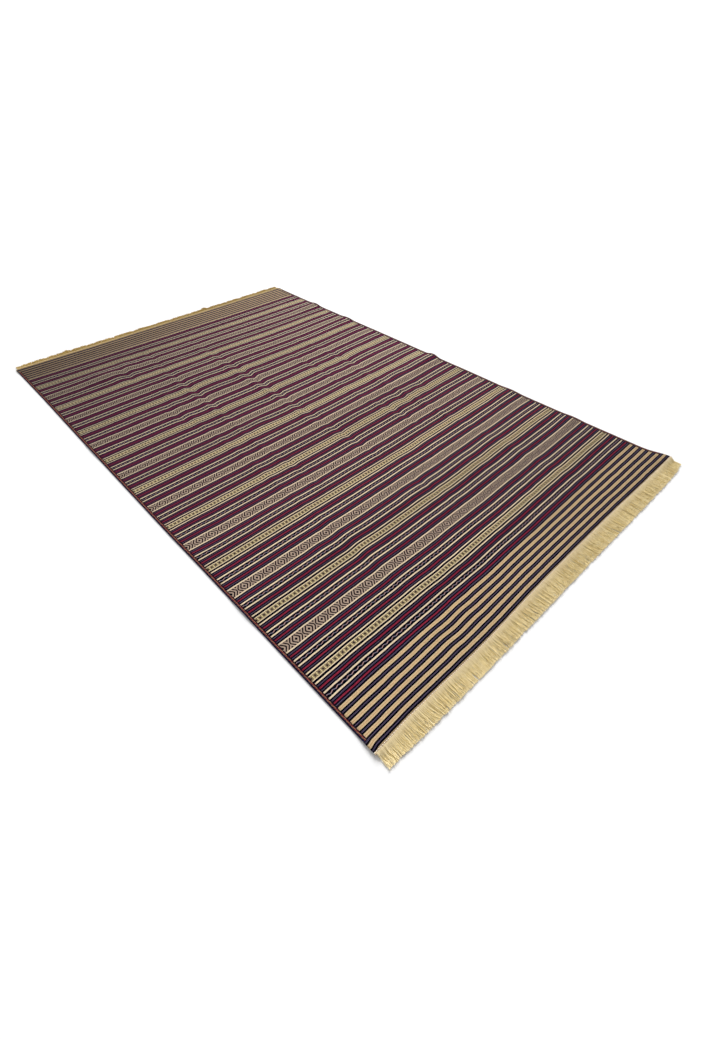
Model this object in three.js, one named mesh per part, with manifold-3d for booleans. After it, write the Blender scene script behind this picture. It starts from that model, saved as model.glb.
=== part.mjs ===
// A flat-woven striped rug that lies on a floor, with the packing creases and edge ripples of a rug
// that has just been unfolded. Millimetres, +Z up. X runs across the width and Y along the length,
// with the near end at -Y. The origin is the middle of the rug, on the floor.
//
// Five pieces, as a maker would count them: the woven cloth, two overcast side cords, and a fringe
// tape with its locks of yarn on each end.

import * as THREE from "three";
import { mergeVertices } from "three/addons/utils/BufferGeometryUtils.js";
import Module from "manifold-3d";

const wasm = await Module();
wasm.setup();

// Driving sizes
const RUG_WIDTH = 2000; // over both side cords
const CLOTH_LENGTH = 3116; // hem to hem, without the fringes
const CLOTH_THICKNESS = 2.5;
const SEWING_GAP = 0.3; // between pieces that are sewn side by side

const CORD_WIDTH = 6;
const CORD_HEIGHT = 4;
const CORD_SIDES = 8;
const BARE_HEM = 42; // length of cloth at each end that the side cords leave bare

const FRINGE_REACH = 74; // from the straight hem line to the longest tip
const TAPE_WIDTH = 8;
const LOCKS_AN_END = 140;
const LOCK_MARGIN = 9; // from a corner of the rug to its first lock
const LOCK_ROOT_DEPTH = 4; // how far a lock reaches into its tape
const LOCK_ROOT_RISE = 0.3; // from the tape's underside to the lock's
const LOCK_TO_FLOOR = 20; // how far out from the tape a lock reaches the floor
const LOCK_LEAN = 7; // how far a lock's tip leans to either side
const LOCK_RIDGE = 0.25; // how far its ridge strays from the middle, as a share of its width
const TIP_TRIM = 3; // how far a lock falls short of its neighbours

// How much shorter than the longest tip each fringe is, across the width
const fringeShort = [
  { x: -1000, near: 14, far: 18 },
  { x: -800, near: 12, far: 14 },
  { x: -600, near: 8, far: 14 },
  { x: 0, near: 5, far: 16 },
  { x: 620, near: 0, far: 15 },
  { x: 820, near: 0, far: 13 },
  { x: 910, near: 4, far: 12 },
  { x: 1000, near: 14, far: 12 },
];

// Tufts that stick out past their neighbours
const strayTufts = [
  { end: 1, x: -670, length: 22, halfWidth: 26 },
  { end: 1, x: -170, length: 7, halfWidth: 22 },
  { end: 1, x: 340, length: 24, halfWidth: 26 },
];

// A lock's three-sided sections: width and lean as shares of the pitch and of the tip's lean
const lockSections = [
  { at: "root", width: 0.8, height: 1.8, lean: 0 },
  { at: "floor", width: 0.86, height: 2.6, lean: 0.3 },
  { at: "tip", width: 0.74, height: 1.6, lean: 1 },
];

// Sharp lengthwise creases left by folding the rug in its pack, from the left side to the right
const packingCreases = [
  { x: -480, height: 3.2, halfWidth: 44, yFrom: -1500, yTo: 1350 },
  { x: -365, height: 4.2, halfWidth: 40, yFrom: -700, yTo: 1180 },
  { x: -40, height: 4.6, halfWidth: 44, yFrom: -480, yTo: 1330 },
  { x: 320, height: 3.2, halfWidth: 46, yFrom: -620, yTo: 760 },
  { x: 520, height: 4.4, halfWidth: 50, yFrom: -1380, yTo: 1180 },
];

// Waves that stand up at a side edge and die away into the cloth. Side -1 is left, +1 is right.
const edgeRipples = [
  { side: 1, y: -1060, height: 4, halfLength: 80, reach: 260 },
  { side: 1, y: -667, height: 5, halfLength: 90, reach: 280 },
  { side: 1, y: -74, height: 12, halfLength: 66, reach: 340 },
  { side: 1, y: 737, height: 6.5, halfLength: 80, reach: 300 },
  { side: 1, y: 1096, height: 9, halfLength: 75, reach: 320 },
  { side: -1, y: -900, height: 3, halfLength: 120, reach: 240 },
  { side: -1, y: 420, height: 3, halfLength: 130, reach: 240 },
];

// Low swells in the open field
const fieldSwells = [
  { x: -640, y: 1120, height: 6, halfWidth: 190, halfLength: 130 },
  { x: -210, y: 620, height: 4, halfWidth: 130, halfLength: 210 },
  { x: 160, y: -250, height: 4, halfWidth: 150, halfLength: 160 },
  { x: 700, y: 300, height: 5, halfWidth: 150, halfLength: 200 },
];

// The hems stand a little off the floor, where the tape stiffens them, and two corners curl
const HEM_LIFT = 2.4;
const HEM_LIFT_LENGTH = 90;
const cornerCurls = [
  { x: 1000, y: -1558, height: 9, radius: 150 },
  { x: -1000, y: -1558, height: 4, radius: 110 },
];

// How far the hem is drawn in towards the middle of the rug, across the width
const hemDraw = [
  { x: -1000, near: 0, far: 0 },
  { x: -840, near: 5, far: 2 },
  { x: -520, near: 1, far: 5 },
  { x: -40, near: 10, far: 3 },
  { x: 360, near: 9, far: 6 },
  { x: 760, near: 3, far: 2 },
  { x: 1000, near: 0, far: 0 },
];

// How far each side is drawn in towards the middle, along the length
const sideDraw = [
  { y: -1558, left: 4, right: 0 },
  { y: -1450, left: 4, right: 9 },
  { y: -700, left: 3, right: 9 },
  { y: -300, left: 0, right: 3 },
  { y: 500, left: 0, right: 0 },
  { y: 1100, left: 2, right: 2 },
  { y: 1558, left: 0, right: 0 },
];
const HEM_DRAW_FADE = 5; // powers that keep each draw near its own edge
const SIDE_DRAW_FADE = 3;

// Grid of the cloth
const WIDEST_COLUMN_GAP = 150;
const WIDEST_ROW_GAP = 165;
const LEAST_LINE_GAP = 14;
const SIDE_COLUMNS = [80, 180, 300]; // in from each side, where the ripples die away
const RIPPLE_ROWS = [0, -0.5, 0.5, -1, 1]; // as shares of a ripple's half length
const RIPPLE_WITH_ROWS = 3.5; // lower ripples take the rows that are there

const HALF_WIDTH = RUG_WIDTH / 2;
const HALF_CLOTH = CLOTH_LENGTH / 2;
const CORD_INNER = HALF_WIDTH - CORD_WIDTH - SEWING_GAP; // the cloth's edge beside a side cord
const CORD_END = HALF_CLOTH - BARE_HEM; // where the cloth widens over the bare hem
const WELD = 1e-4;

// A smooth hump, 1 in the middle and 0 at a distance of 1 and beyond
function hump(distance) {
  const d = Math.min(1, Math.abs(distance));
  return 0.5 + 0.5 * Math.cos(Math.PI * d);
}

// A value from a table, eased between its rows
function fromTable(table, along, column, at) {
  const last = table.length - 1;
  if (at <= table[0][along]) return table[0][column];
  if (at >= table[last][along]) return table[last][column];
  const i = table.findIndex((row) => row[along] > at);
  const share = (at - table[i - 1][along]) / (table[i][along] - table[i - 1][along]);
  return THREE.MathUtils.lerp(table[i - 1][column], table[i][column], 1 - hump(share));
}

// Height of the cloth's underside above the floor
function lift(x, y) {
  let height = HEM_LIFT * hump((HALF_CLOTH - Math.abs(y)) / HEM_LIFT_LENGTH);
  for (const c of packingCreases) {
    const along = (y - c.yFrom) / (c.yTo - c.yFrom);
    height += c.height * Math.sqrt(hump(2 * along - 1)) * hump((x - c.x) / c.halfWidth);
  }
  for (const r of edgeRipples) {
    const inward = (HALF_WIDTH - r.side * x) / r.reach;
    height += r.height * hump(inward) * hump((y - r.y) / r.halfLength);
  }
  for (const s of fieldSwells) {
    height += s.height * hump((x - s.x) / s.halfWidth) * hump((y - s.y) / s.halfLength);
  }
  for (const c of cornerCurls) {
    height += c.height * hump(Math.hypot(x - c.x, y - c.y) / c.radius);
  }
  return height;
}

// Where a grid point of the cloth lies on the floor plan, once the sides and hems are drawn in
function planPoint(x, y) {
  const side = fromTable(sideDraw, "y", x < 0 ? "left" : "right", y);
  const hem = fromTable(hemDraw, "x", y < 0 ? "near" : "far", x);
  const sideShare = Math.pow(Math.abs(x) / HALF_WIDTH, SIDE_DRAW_FADE);
  const hemShare = Math.pow(Math.abs(y) / HALF_CLOTH, HEM_DRAW_FADE);
  return { x: x - Math.sign(x) * side * sideShare, y: y - Math.sign(y) * hem * hemShare };
}

// Sorted grid lines: the kept ones, the wished ones that aren't too close to another, and even
// fillers where the gap is too wide
function gridLines(kept, wished, widest) {
  const lines = [...kept];
  for (const at of wished) {
    if (lines.every((other) => Math.abs(other - at) >= LEAST_LINE_GAP)) lines.push(at);
  }
  lines.sort((a, b) => a - b);
  const filled = [lines[0]];
  for (const at of lines.slice(1)) {
    const before = filled[filled.length - 1];
    const steps = Math.ceil((at - before) / widest);
    for (let k = 1; k <= steps; k++) filled.push(before + ((at - before) * k) / steps);
  }
  return filled;
}

const columns = gridLines(
  [-HALF_WIDTH, -CORD_INNER, CORD_INNER, HALF_WIDTH],
  [
    ...packingCreases.flatMap((c) => [c.x, c.x - c.halfWidth, c.x + c.halfWidth]),
    ...SIDE_COLUMNS.flatMap((inward) => [inward - HALF_WIDTH, HALF_WIDTH - inward]),
  ],
  WIDEST_COLUMN_GAP,
);

const rows = gridLines(
  [-HALF_CLOTH, -CORD_END, CORD_END, HALF_CLOTH],
  [
    ...edgeRipples
      .filter((r) => r.height > RIPPLE_WITH_ROWS)
      .flatMap((r) => RIPPLE_ROWS.map((share) => r.y + share * r.halfLength)),
    HEM_LIFT_LENGTH - HALF_CLOTH,
    HALF_CLOTH - HEM_LIFT_LENGTH,
  ],
  WIDEST_ROW_GAP,
);

function closedGeometry(positions, triangles) {
  const geometry = new THREE.BufferGeometry();
  geometry.setAttribute("position", new THREE.Float32BufferAttribute(positions, 3));
  geometry.setIndex(triangles);
  return mergeVertices(geometry, WELD);
}

// The woven cloth: one sheet of even thickness over the grid, without the strips that the side
// cords take
function clothGeometry() {
  const lastColumn = columns.length - 1;
  const lastRow = rows.length - 1;
  const positions = [];
  for (const y of rows) {
    for (const x of columns) {
      const p = planPoint(x, y);
      const under = lift(x, y);
      positions.push(p.x, p.y, under, p.x, p.y, under + CLOTH_THICKNESS);
    }
  }
  const bottom = (i, j) => 2 * (j * columns.length + i);
  const top = (i, j) => bottom(i, j) + 1;
  const filled = (i, j) => {
    if (i < 0 || j < 0 || i >= lastColumn || j >= lastRow) return false;
    const besideCord = i === 0 || i === lastColumn - 1;
    const inHem = Math.abs((rows[j] + rows[j + 1]) / 2) > CORD_END;
    return inHem || !besideCord;
  };
  const triangles = [];
  const quad = (a, b, c, d) => triangles.push(a, b, c, a, c, d);
  const wall = (i, j, k, l) => quad(top(k, l), top(i, j), bottom(i, j), bottom(k, l));
  for (let j = 0; j < lastRow; j++) {
    for (let i = 0; i < lastColumn; i++) {
      if (!filled(i, j)) continue;
      quad(top(i, j), top(i + 1, j), top(i + 1, j + 1), top(i, j + 1));
      quad(bottom(i, j), bottom(i, j + 1), bottom(i + 1, j + 1), bottom(i + 1, j));
      if (!filled(i - 1, j)) wall(i, j + 1, i, j);
      if (!filled(i + 1, j)) wall(i + 1, j, i + 1, j + 1);
      if (!filled(i, j - 1)) wall(i, j, i + 1, j);
      if (!filled(i, j + 1)) wall(i + 1, j + 1, i, j + 1);
    }
  }
  return closedGeometry(positions, triangles);
}

// A closed solid through a run of cross-sections, each a ring of points in the same order
function loftGeometry(rings) {
  const sides = rings[0].length;
  const positions = rings.flat().flatMap((p) => [p.x, p.y, p.z]);
  const triangles = [];
  for (let r = 0; r < rings.length - 1; r++) {
    for (let k = 0; k < sides; k++) {
      const a = r * sides + k;
      const b = r * sides + ((k + 1) % sides);
      triangles.push(a, b, b + sides, a, b + sides, a + sides);
    }
  }
  const lastRing = (rings.length - 1) * sides;
  for (let k = 1; k < sides - 1; k++) {
    triangles.push(0, k + 1, k);
    triangles.push(lastRing, lastRing + k, lastRing + k + 1);
  }
  return closedGeometry(positions, triangles);
}

// A side cord: the overcast yarn along one long side, as a flattened round beside the cloth
function sideCordGeometry(side) {
  const ends = [SEWING_GAP - CORD_END, CORD_END - SEWING_GAP];
  const stations = [ends[0], ...rows.filter((y) => Math.abs(y) < CORD_END), ends[1]];
  const toCorner = 1 / Math.cos(Math.PI / CORD_SIDES);
  const rings = stations.map((y) => {
    const edge = planPoint(side * CORD_INNER, y);
    const centre = edge.x + side * (SEWING_GAP + CORD_WIDTH / 2);
    const middle = lift(side * CORD_INNER, y) + CORD_HEIGHT / 2;
    return Array.from({ length: CORD_SIDES }, (_, k) => {
      const angle = (-2 * Math.PI * (k + 0.5)) / CORD_SIDES;
      return {
        x: centre + (CORD_WIDTH / 2) * toCorner * Math.cos(angle),
        y: edge.y,
        z: middle + (CORD_HEIGHT / 2) * toCorner * Math.sin(angle),
      };
    });
  });
  return loftGeometry(rings);
}

// A small uneven wander, from -1 to 1, that is the same for the same number each time
function wander(number, rate) {
  return Math.sin(number * rate) * 0.6 + Math.sin(number * rate * 2.7 + 1.3) * 0.4;
}

// Hem line of one end: the place and height of the cloth's edge at X
function hemPoint(x, end) {
  const p = planPoint(x, end * HALF_CLOTH);
  return { x: p.x, y: p.y, z: lift(x, end * HALF_CLOTH) };
}

// A ring drawn for the far end is turned over for the near one, which mirrors it
function facingEnd(ring, end) {
  return end > 0 ? ring : ring.reverse();
}

// The woven tape that carries a fringe, sewn against the hem
function tapeGeometry(end) {
  const rings = columns.map((x) => {
    const hem = hemPoint(x, end);
    const inner = hem.y + end * SEWING_GAP;
    const outer = inner + end * TAPE_WIDTH;
    const ring = [
      { x: hem.x, y: inner, z: hem.z },
      { x: hem.x, y: outer, z: hem.z },
      { x: hem.x, y: outer, z: hem.z + CLOTH_THICKNESS },
      { x: hem.x, y: inner, z: hem.z + CLOTH_THICKNESS },
    ];
    return facingEnd(ring, end);
  });
  return loftGeometry(rings);
}

// How far a lock's tip falls short of the longest one
function lockShort(number, x, end) {
  const trim = TIP_TRIM * Math.max(0, wander(number + 11 * end, 0.61));
  let short = fromTable(fringeShort, "x", end < 0 ? "near" : "far", x) + trim;
  for (const tuft of strayTufts) {
    if (tuft.end === end) short -= tuft.length * hump((x - tuft.x) / tuft.halfWidth);
  }
  return Math.max(0, short);
}

// One lock of fringe yarn: it leaves the tape, drops to the floor and lies there on a flat side
function lockGeometry(number, end) {
  const pitch = (RUG_WIDTH - 2 * LOCK_MARGIN) / LOCKS_AN_END;
  const x = -HALF_WIDTH + LOCK_MARGIN + pitch * (number + 0.5);
  const hem = hemPoint(x, end);
  const tapeEdge = hem.y + end * (SEWING_GAP + TAPE_WIDTH);
  const reach = FRINGE_REACH - lockShort(number, x, end);
  const tipLean = LOCK_LEAN * wander(number + 40 * end, 0.17);
  const ridge = LOCK_RIDGE * wander(number, 1.9);
  const places = {
    root: { y: tapeEdge - end * LOCK_ROOT_DEPTH, z: hem.z + LOCK_ROOT_RISE },
    floor: { y: tapeEdge + end * LOCK_TO_FLOOR, z: 0 },
    tip: { y: end * (HALF_CLOTH + reach), z: 0 },
  };
  const rings = lockSections.map((section) => {
    const { y, z } = places[section.at];
    const middle = x + tipLean * section.lean;
    const width = pitch * section.width;
    const ring = [
      { x: middle + width * ridge, y, z: z + section.height },
      { x: middle + width / 2, y, z },
      { x: middle - width / 2, y, z },
    ];
    return facingEnd(ring, end);
  });
  return loftGeometry(rings);
}

function solidOf(geometry) {
  return new wasm.Manifold(
    new wasm.Mesh({
      numProp: 3,
      vertProperties: geometry.attributes.position.array,
      triVerts: new Uint32Array(geometry.index.array),
    }),
  );
}

// A fringe: its tape with every lock's root fused into it
function fringeGeometry(end) {
  let fringe = solidOf(tapeGeometry(end));
  for (let number = 0; number < LOCKS_AN_END; number++) {
    fringe = fringe.add(solidOf(lockGeometry(number, end)));
  }
  const mesh = fringe.getMesh();
  return closedGeometry(Array.from(mesh.vertProperties), Array.from(mesh.triVerts));
}

const stripedWool = new THREE.MeshStandardMaterial({ color: 0x5b3f4c, roughness: 0.95 });
const navyYarn = new THREE.MeshStandardMaterial({ color: 0x1d1a2b, roughness: 0.9 });
const goldYarn = new THREE.MeshStandardMaterial({ color: 0xc9ad6c, roughness: 0.75 });

const rug = new THREE.Group();

function addPiece(name, geometry, material) {
  geometry.computeVertexNormals();
  const piece = new THREE.Mesh(geometry, material);
  piece.name = name;
  rug.add(piece);
}

addPiece("woven_cloth", clothGeometry(), stripedWool);
addPiece("side_cord_left", sideCordGeometry(-1), navyYarn);
addPiece("side_cord_right", sideCordGeometry(1), navyYarn);
addPiece("fringe_near", fringeGeometry(-1), goldYarn);
addPiece("fringe_far", fringeGeometry(1), goldYarn);

export default rug;
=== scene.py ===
# %% [markdown]
# # A striped flat-woven rug on a pale floor
# The rug is one woven cloth with overcast sides and a yarn fringe on each end. Its solids come from
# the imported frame, which gives every piece its size and place. This lesson dresses them: it weaves
# the stripes, winds the side yarns, sews the stitch lines and lays out the fringe.

import math

import bpy
import numpy as np
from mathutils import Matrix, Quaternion, Vector


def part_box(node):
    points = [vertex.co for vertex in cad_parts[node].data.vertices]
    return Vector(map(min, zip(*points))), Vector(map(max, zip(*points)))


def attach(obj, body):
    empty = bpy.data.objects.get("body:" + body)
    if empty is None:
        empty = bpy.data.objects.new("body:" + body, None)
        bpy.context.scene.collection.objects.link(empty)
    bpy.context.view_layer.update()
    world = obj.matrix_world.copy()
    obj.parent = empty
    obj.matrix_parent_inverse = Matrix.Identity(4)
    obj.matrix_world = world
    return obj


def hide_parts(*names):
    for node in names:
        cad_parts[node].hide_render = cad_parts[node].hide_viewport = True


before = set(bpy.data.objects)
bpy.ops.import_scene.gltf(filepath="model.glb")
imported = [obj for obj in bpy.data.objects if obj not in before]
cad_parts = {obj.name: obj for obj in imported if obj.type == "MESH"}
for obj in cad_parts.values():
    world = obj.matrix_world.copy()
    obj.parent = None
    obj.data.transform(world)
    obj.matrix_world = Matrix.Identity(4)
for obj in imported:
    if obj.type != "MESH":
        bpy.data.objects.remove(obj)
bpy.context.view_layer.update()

# %% [markdown]
# The sizes below repeat the rug's own: the cloth's half width and half length are read from the
# frame, and the rest are the maker's sizes. All of them are metres. Along the rug, `v` counts from
# the lower edge of the first navy stripe at the near hem, which is one hem's depth inside the cloth.

# %% Sizes of the rug
_, cloth_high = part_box("woven_cloth")
HALF_WIDTH = cloth_high[0]
HALF_CLOTH = cloth_high[1]
CLOTH_THICKNESS = 0.0025
SEWING_GAP = 0.0003
CORD_WIDTH = 0.006
CORD_HEIGHT = 0.004
BARE_HEM = 0.042
HEM_DEPTH = 0.006
CLOTH_EDGE = HALF_WIDTH - CORD_WIDTH - SEWING_GAP
CORD_END = HALF_CLOTH - BARE_HEM
PATTERN_LENGTH = 2 * (HALF_CLOTH - HEM_DEPTH)

TAPE_WIDTH = 0.008
LOCKS_AN_END = 140
LOCK_MARGIN = 0.009
LOCK_TO_FLOOR = 0.020
LOCK_LEAN = 0.007
TIP_TRIM = 0.003
_, fringe_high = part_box("fringe_far")
FRINGE_REACH = fringe_high[1] - HALF_CLOTH
print("Cloth:", round(2 * HALF_WIDTH, 3), "by", round(2 * HALF_CLOTH, 3))

# %% [markdown]
# A rug that has just been unfolded keeps sharp lengthwise creases from its pack, stands up in short
# ripples at its sides, and swells a little in the open field. They could be painted as bump, but
# they bend the stripes as seen from a low camera, so they are real heights. Each is a smooth hump
# with a place, a height and a reach, which is how the rug's solids have them too. A fold that was
# ironed by weight has a sharper crest than a plain hump, so a narrower hump sits on each crest.

# %% Folds of the cloth
PACKING_CREASES = [
    {"x": -0.480, "height": 0.0032, "half_width": 0.044, "y_from": -1.500, "y_to": 1.350},
    {"x": -0.365, "height": 0.0042, "half_width": 0.040, "y_from": -0.700, "y_to": 1.180},
    {"x": -0.040, "height": 0.0046, "half_width": 0.044, "y_from": -0.480, "y_to": 1.330},
    {"x": 0.320, "height": 0.0032, "half_width": 0.046, "y_from": -0.620, "y_to": 0.760},
    {"x": 0.520, "height": 0.0044, "half_width": 0.050, "y_from": -1.380, "y_to": 1.180},
]
EDGE_RIPPLES = [
    {"side": 1, "y": -1.060, "height": 0.004, "half_length": 0.080, "reach": 0.260},
    {"side": 1, "y": -0.667, "height": 0.005, "half_length": 0.090, "reach": 0.280},
    {"side": 1, "y": -0.074, "height": 0.012, "half_length": 0.066, "reach": 0.340},
    {"side": 1, "y": 0.737, "height": 0.0065, "half_length": 0.080, "reach": 0.300},
    {"side": 1, "y": 1.096, "height": 0.009, "half_length": 0.075, "reach": 0.320},
    {"side": -1, "y": -0.900, "height": 0.003, "half_length": 0.120, "reach": 0.240},
    {"side": -1, "y": 0.420, "height": 0.003, "half_length": 0.130, "reach": 0.240},
]
FIELD_SWELLS = [
    {"x": -0.640, "y": 1.120, "height": 0.006, "half_width": 0.190, "half_length": 0.130},
    {"x": -0.210, "y": 0.620, "height": 0.004, "half_width": 0.130, "half_length": 0.210},
    {"x": 0.160, "y": -0.250, "height": 0.004, "half_width": 0.150, "half_length": 0.160},
    {"x": 0.700, "y": 0.300, "height": 0.005, "half_width": 0.150, "half_length": 0.200},
]
HEM_LIFT = 0.0024
HEM_LIFT_LENGTH = 0.090
CORNER_CURLS = [
    {"x": 1.000, "y": -1.558, "height": 0.009, "radius": 0.150},
    {"x": -1.000, "y": -1.558, "height": 0.004, "radius": 0.110},
]
CREST_SHARE = 0.35
CREST_NARROWING = 0.4
CREST_WANDER = 0.004
COCKLE_HEIGHT = 0.0005


def hump(distance):
    """1 in the middle, 0 at a distance of 1 and beyond, and smooth between"""
    return 0.5 + 0.5 * np.cos(np.pi * np.clip(np.abs(distance), 0, 1))


def cockles(x, y):
    """Small uneven puckers of hand-beaten cloth, never below the floor"""
    waves = np.sin(31 * x + 9 * y) + np.sin(17 * x - 26 * y + 1.7) + np.sin(43 * y - 12 * x + 0.6)
    return COCKLE_HEIGHT * (3 + waves) / 6


def lift(x, y):
    """Height of the cloth's underside above the floor"""
    height = HEM_LIFT * hump((HALF_CLOTH - np.abs(y)) / HEM_LIFT_LENGTH) + cockles(x, y)
    for c in PACKING_CREASES:
        fade = np.sqrt(hump(2 * (y - c["y_from"]) / (c["y_to"] - c["y_from"]) - 1))
        off = (x - c["x"] - CREST_WANDER * np.sin(9 * y + 20 * c["x"])) / c["half_width"]
        crest = (1 - CREST_SHARE) * hump(off) + CREST_SHARE * hump(off / CREST_NARROWING)
        height = height + c["height"] * fade * crest
    for r in EDGE_RIPPLES:
        inward = (HALF_WIDTH - r["side"] * x) / r["reach"]
        height = height + r["height"] * hump(inward) * hump((y - r["y"]) / r["half_length"])
    for s in FIELD_SWELLS:
        across = hump((x - s["x"]) / s["half_width"])
        height = height + s["height"] * across * hump((y - s["y"]) / s["half_length"])
    for c in CORNER_CURLS:
        height = height + c["height"] * hump(np.hypot(x - c["x"], y - c["y"]) / c["radius"])
    return height


print("Highest fold, mm:", round(1000 * float(lift(np.array(1.0), np.array(-0.074))), 1))

# %% [markdown]
# The outline isn't a true rectangle: the hems and the sides are drawn in by a few millimetres. The
# tables give how far, and the values between their rows are eased.

# %% Outline of the cloth
HEM_DRAW = [
    {"x": -1.000, "near": 0.000, "far": 0.000},
    {"x": -0.840, "near": 0.005, "far": 0.002},
    {"x": -0.520, "near": 0.001, "far": 0.005},
    {"x": -0.040, "near": 0.010, "far": 0.003},
    {"x": 0.360, "near": 0.009, "far": 0.006},
    {"x": 0.760, "near": 0.003, "far": 0.002},
    {"x": 1.000, "near": 0.000, "far": 0.000},
]
SIDE_DRAW = [
    {"y": -1.558, "left": 0.004, "right": 0.000},
    {"y": -1.450, "left": 0.004, "right": 0.009},
    {"y": -0.700, "left": 0.003, "right": 0.009},
    {"y": -0.300, "left": 0.000, "right": 0.003},
    {"y": 0.500, "left": 0.000, "right": 0.000},
    {"y": 1.100, "left": 0.002, "right": 0.002},
    {"y": 1.558, "left": 0.000, "right": 0.000},
]
HEM_DRAW_FADE = 5
SIDE_DRAW_FADE = 3


def eased(table, along, column, at):
    """A column of a table at any place along it, eased between the rows"""
    places = np.array([row[along] for row in table])
    values = np.array([row[column] for row in table])
    at = np.clip(at, places[0], places[-1])
    i = np.clip(np.searchsorted(places, at, side="right") - 1, 0, len(places) - 2)
    share = (at - places[i]) / (places[i + 1] - places[i])
    return values[i] + (values[i + 1] - values[i]) * (1 - hump(share))


def plan(x, y):
    """Where a point of the flat-cut cloth lies, once its sides and hems are drawn in"""
    side = np.where(x < 0, eased(SIDE_DRAW, "y", "left", y), eased(SIDE_DRAW, "y", "right", y))
    hem = np.where(y < 0, eased(HEM_DRAW, "x", "near", x), eased(HEM_DRAW, "x", "far", x))
    side = side * np.abs(x / HALF_WIDTH) ** SIDE_DRAW_FADE
    hem = hem * np.abs(y / HALF_CLOTH) ** HEM_DRAW_FADE
    return x - np.sign(x) * side, y - np.sign(y) * hem


print("Rows that shape the outline:", len(HEM_DRAW) + len(SIDE_DRAW))

# %% [markdown]
# The weft never lies quite square to the sides. It runs ahead on the right for most of the length
# and falls back near the far end. Bending the pattern is a matter of texture coordinates, so the
# skew goes into the cloth's UV map, not into its shape, and so do the long low waves in which the
# weft lies between the creases. The bands of motifs aren't evenly spaced either: their middles were
# measured along the left side, and the map counts them in half repeats.

# %% Run of the weft and rhythm of the bands
WEFT_SKEW = [
    {"v": 0.000, "left": 0.000, "middle": 0.0000, "right_of_middle": 0.0000, "right": 0.000},
    {"v": 0.240, "left": 0.001, "middle": -0.0015, "right_of_middle": 0.0065, "right": 0.0145},
    {"v": 0.640, "left": 0.001, "middle": 0.0043, "right_of_middle": 0.0195, "right": 0.029},
    {"v": 1.040, "left": -0.001, "middle": 0.0000, "right_of_middle": 0.0120, "right": 0.022},
    {"v": 1.440, "left": 0.000, "middle": 0.0020, "right_of_middle": 0.0120, "right": 0.027},
    {"v": 2.040, "left": 0.006, "middle": 0.0040, "right_of_middle": 0.0075, "right": 0.028},
    {"v": 2.440, "left": 0.005, "middle": 0.0050, "right_of_middle": -0.0070, "right": 0.005},
    {"v": 2.640, "left": 0.005, "middle": -0.0070, "right_of_middle": -0.0150, "right": -0.016},
    {"v": 2.840, "left": -0.001, "middle": -0.0100, "right_of_middle": -0.0120, "right": -0.006},
    {"v": 3.104, "left": 0.000, "middle": 0.0000, "right_of_middle": 0.0000, "right": 0.000},
]
SKEW_PLACES = {"left": 0.40, "middle": 1.00, "right_of_middle": 1.50, "right": 1.92}
HALF_REPEAT = 0.157
END_TWIST = 0.0765
LIGHT_BANDS = (0.2944, 0.5955, 0.915, 1.2285, 1.5425, 1.849, 2.171, 2.492, 2.802)
DIAMOND_BANDS = (0.4422, 0.753, 1.069, 1.3835, 1.691, 2.011, 2.3345, 2.650)
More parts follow.
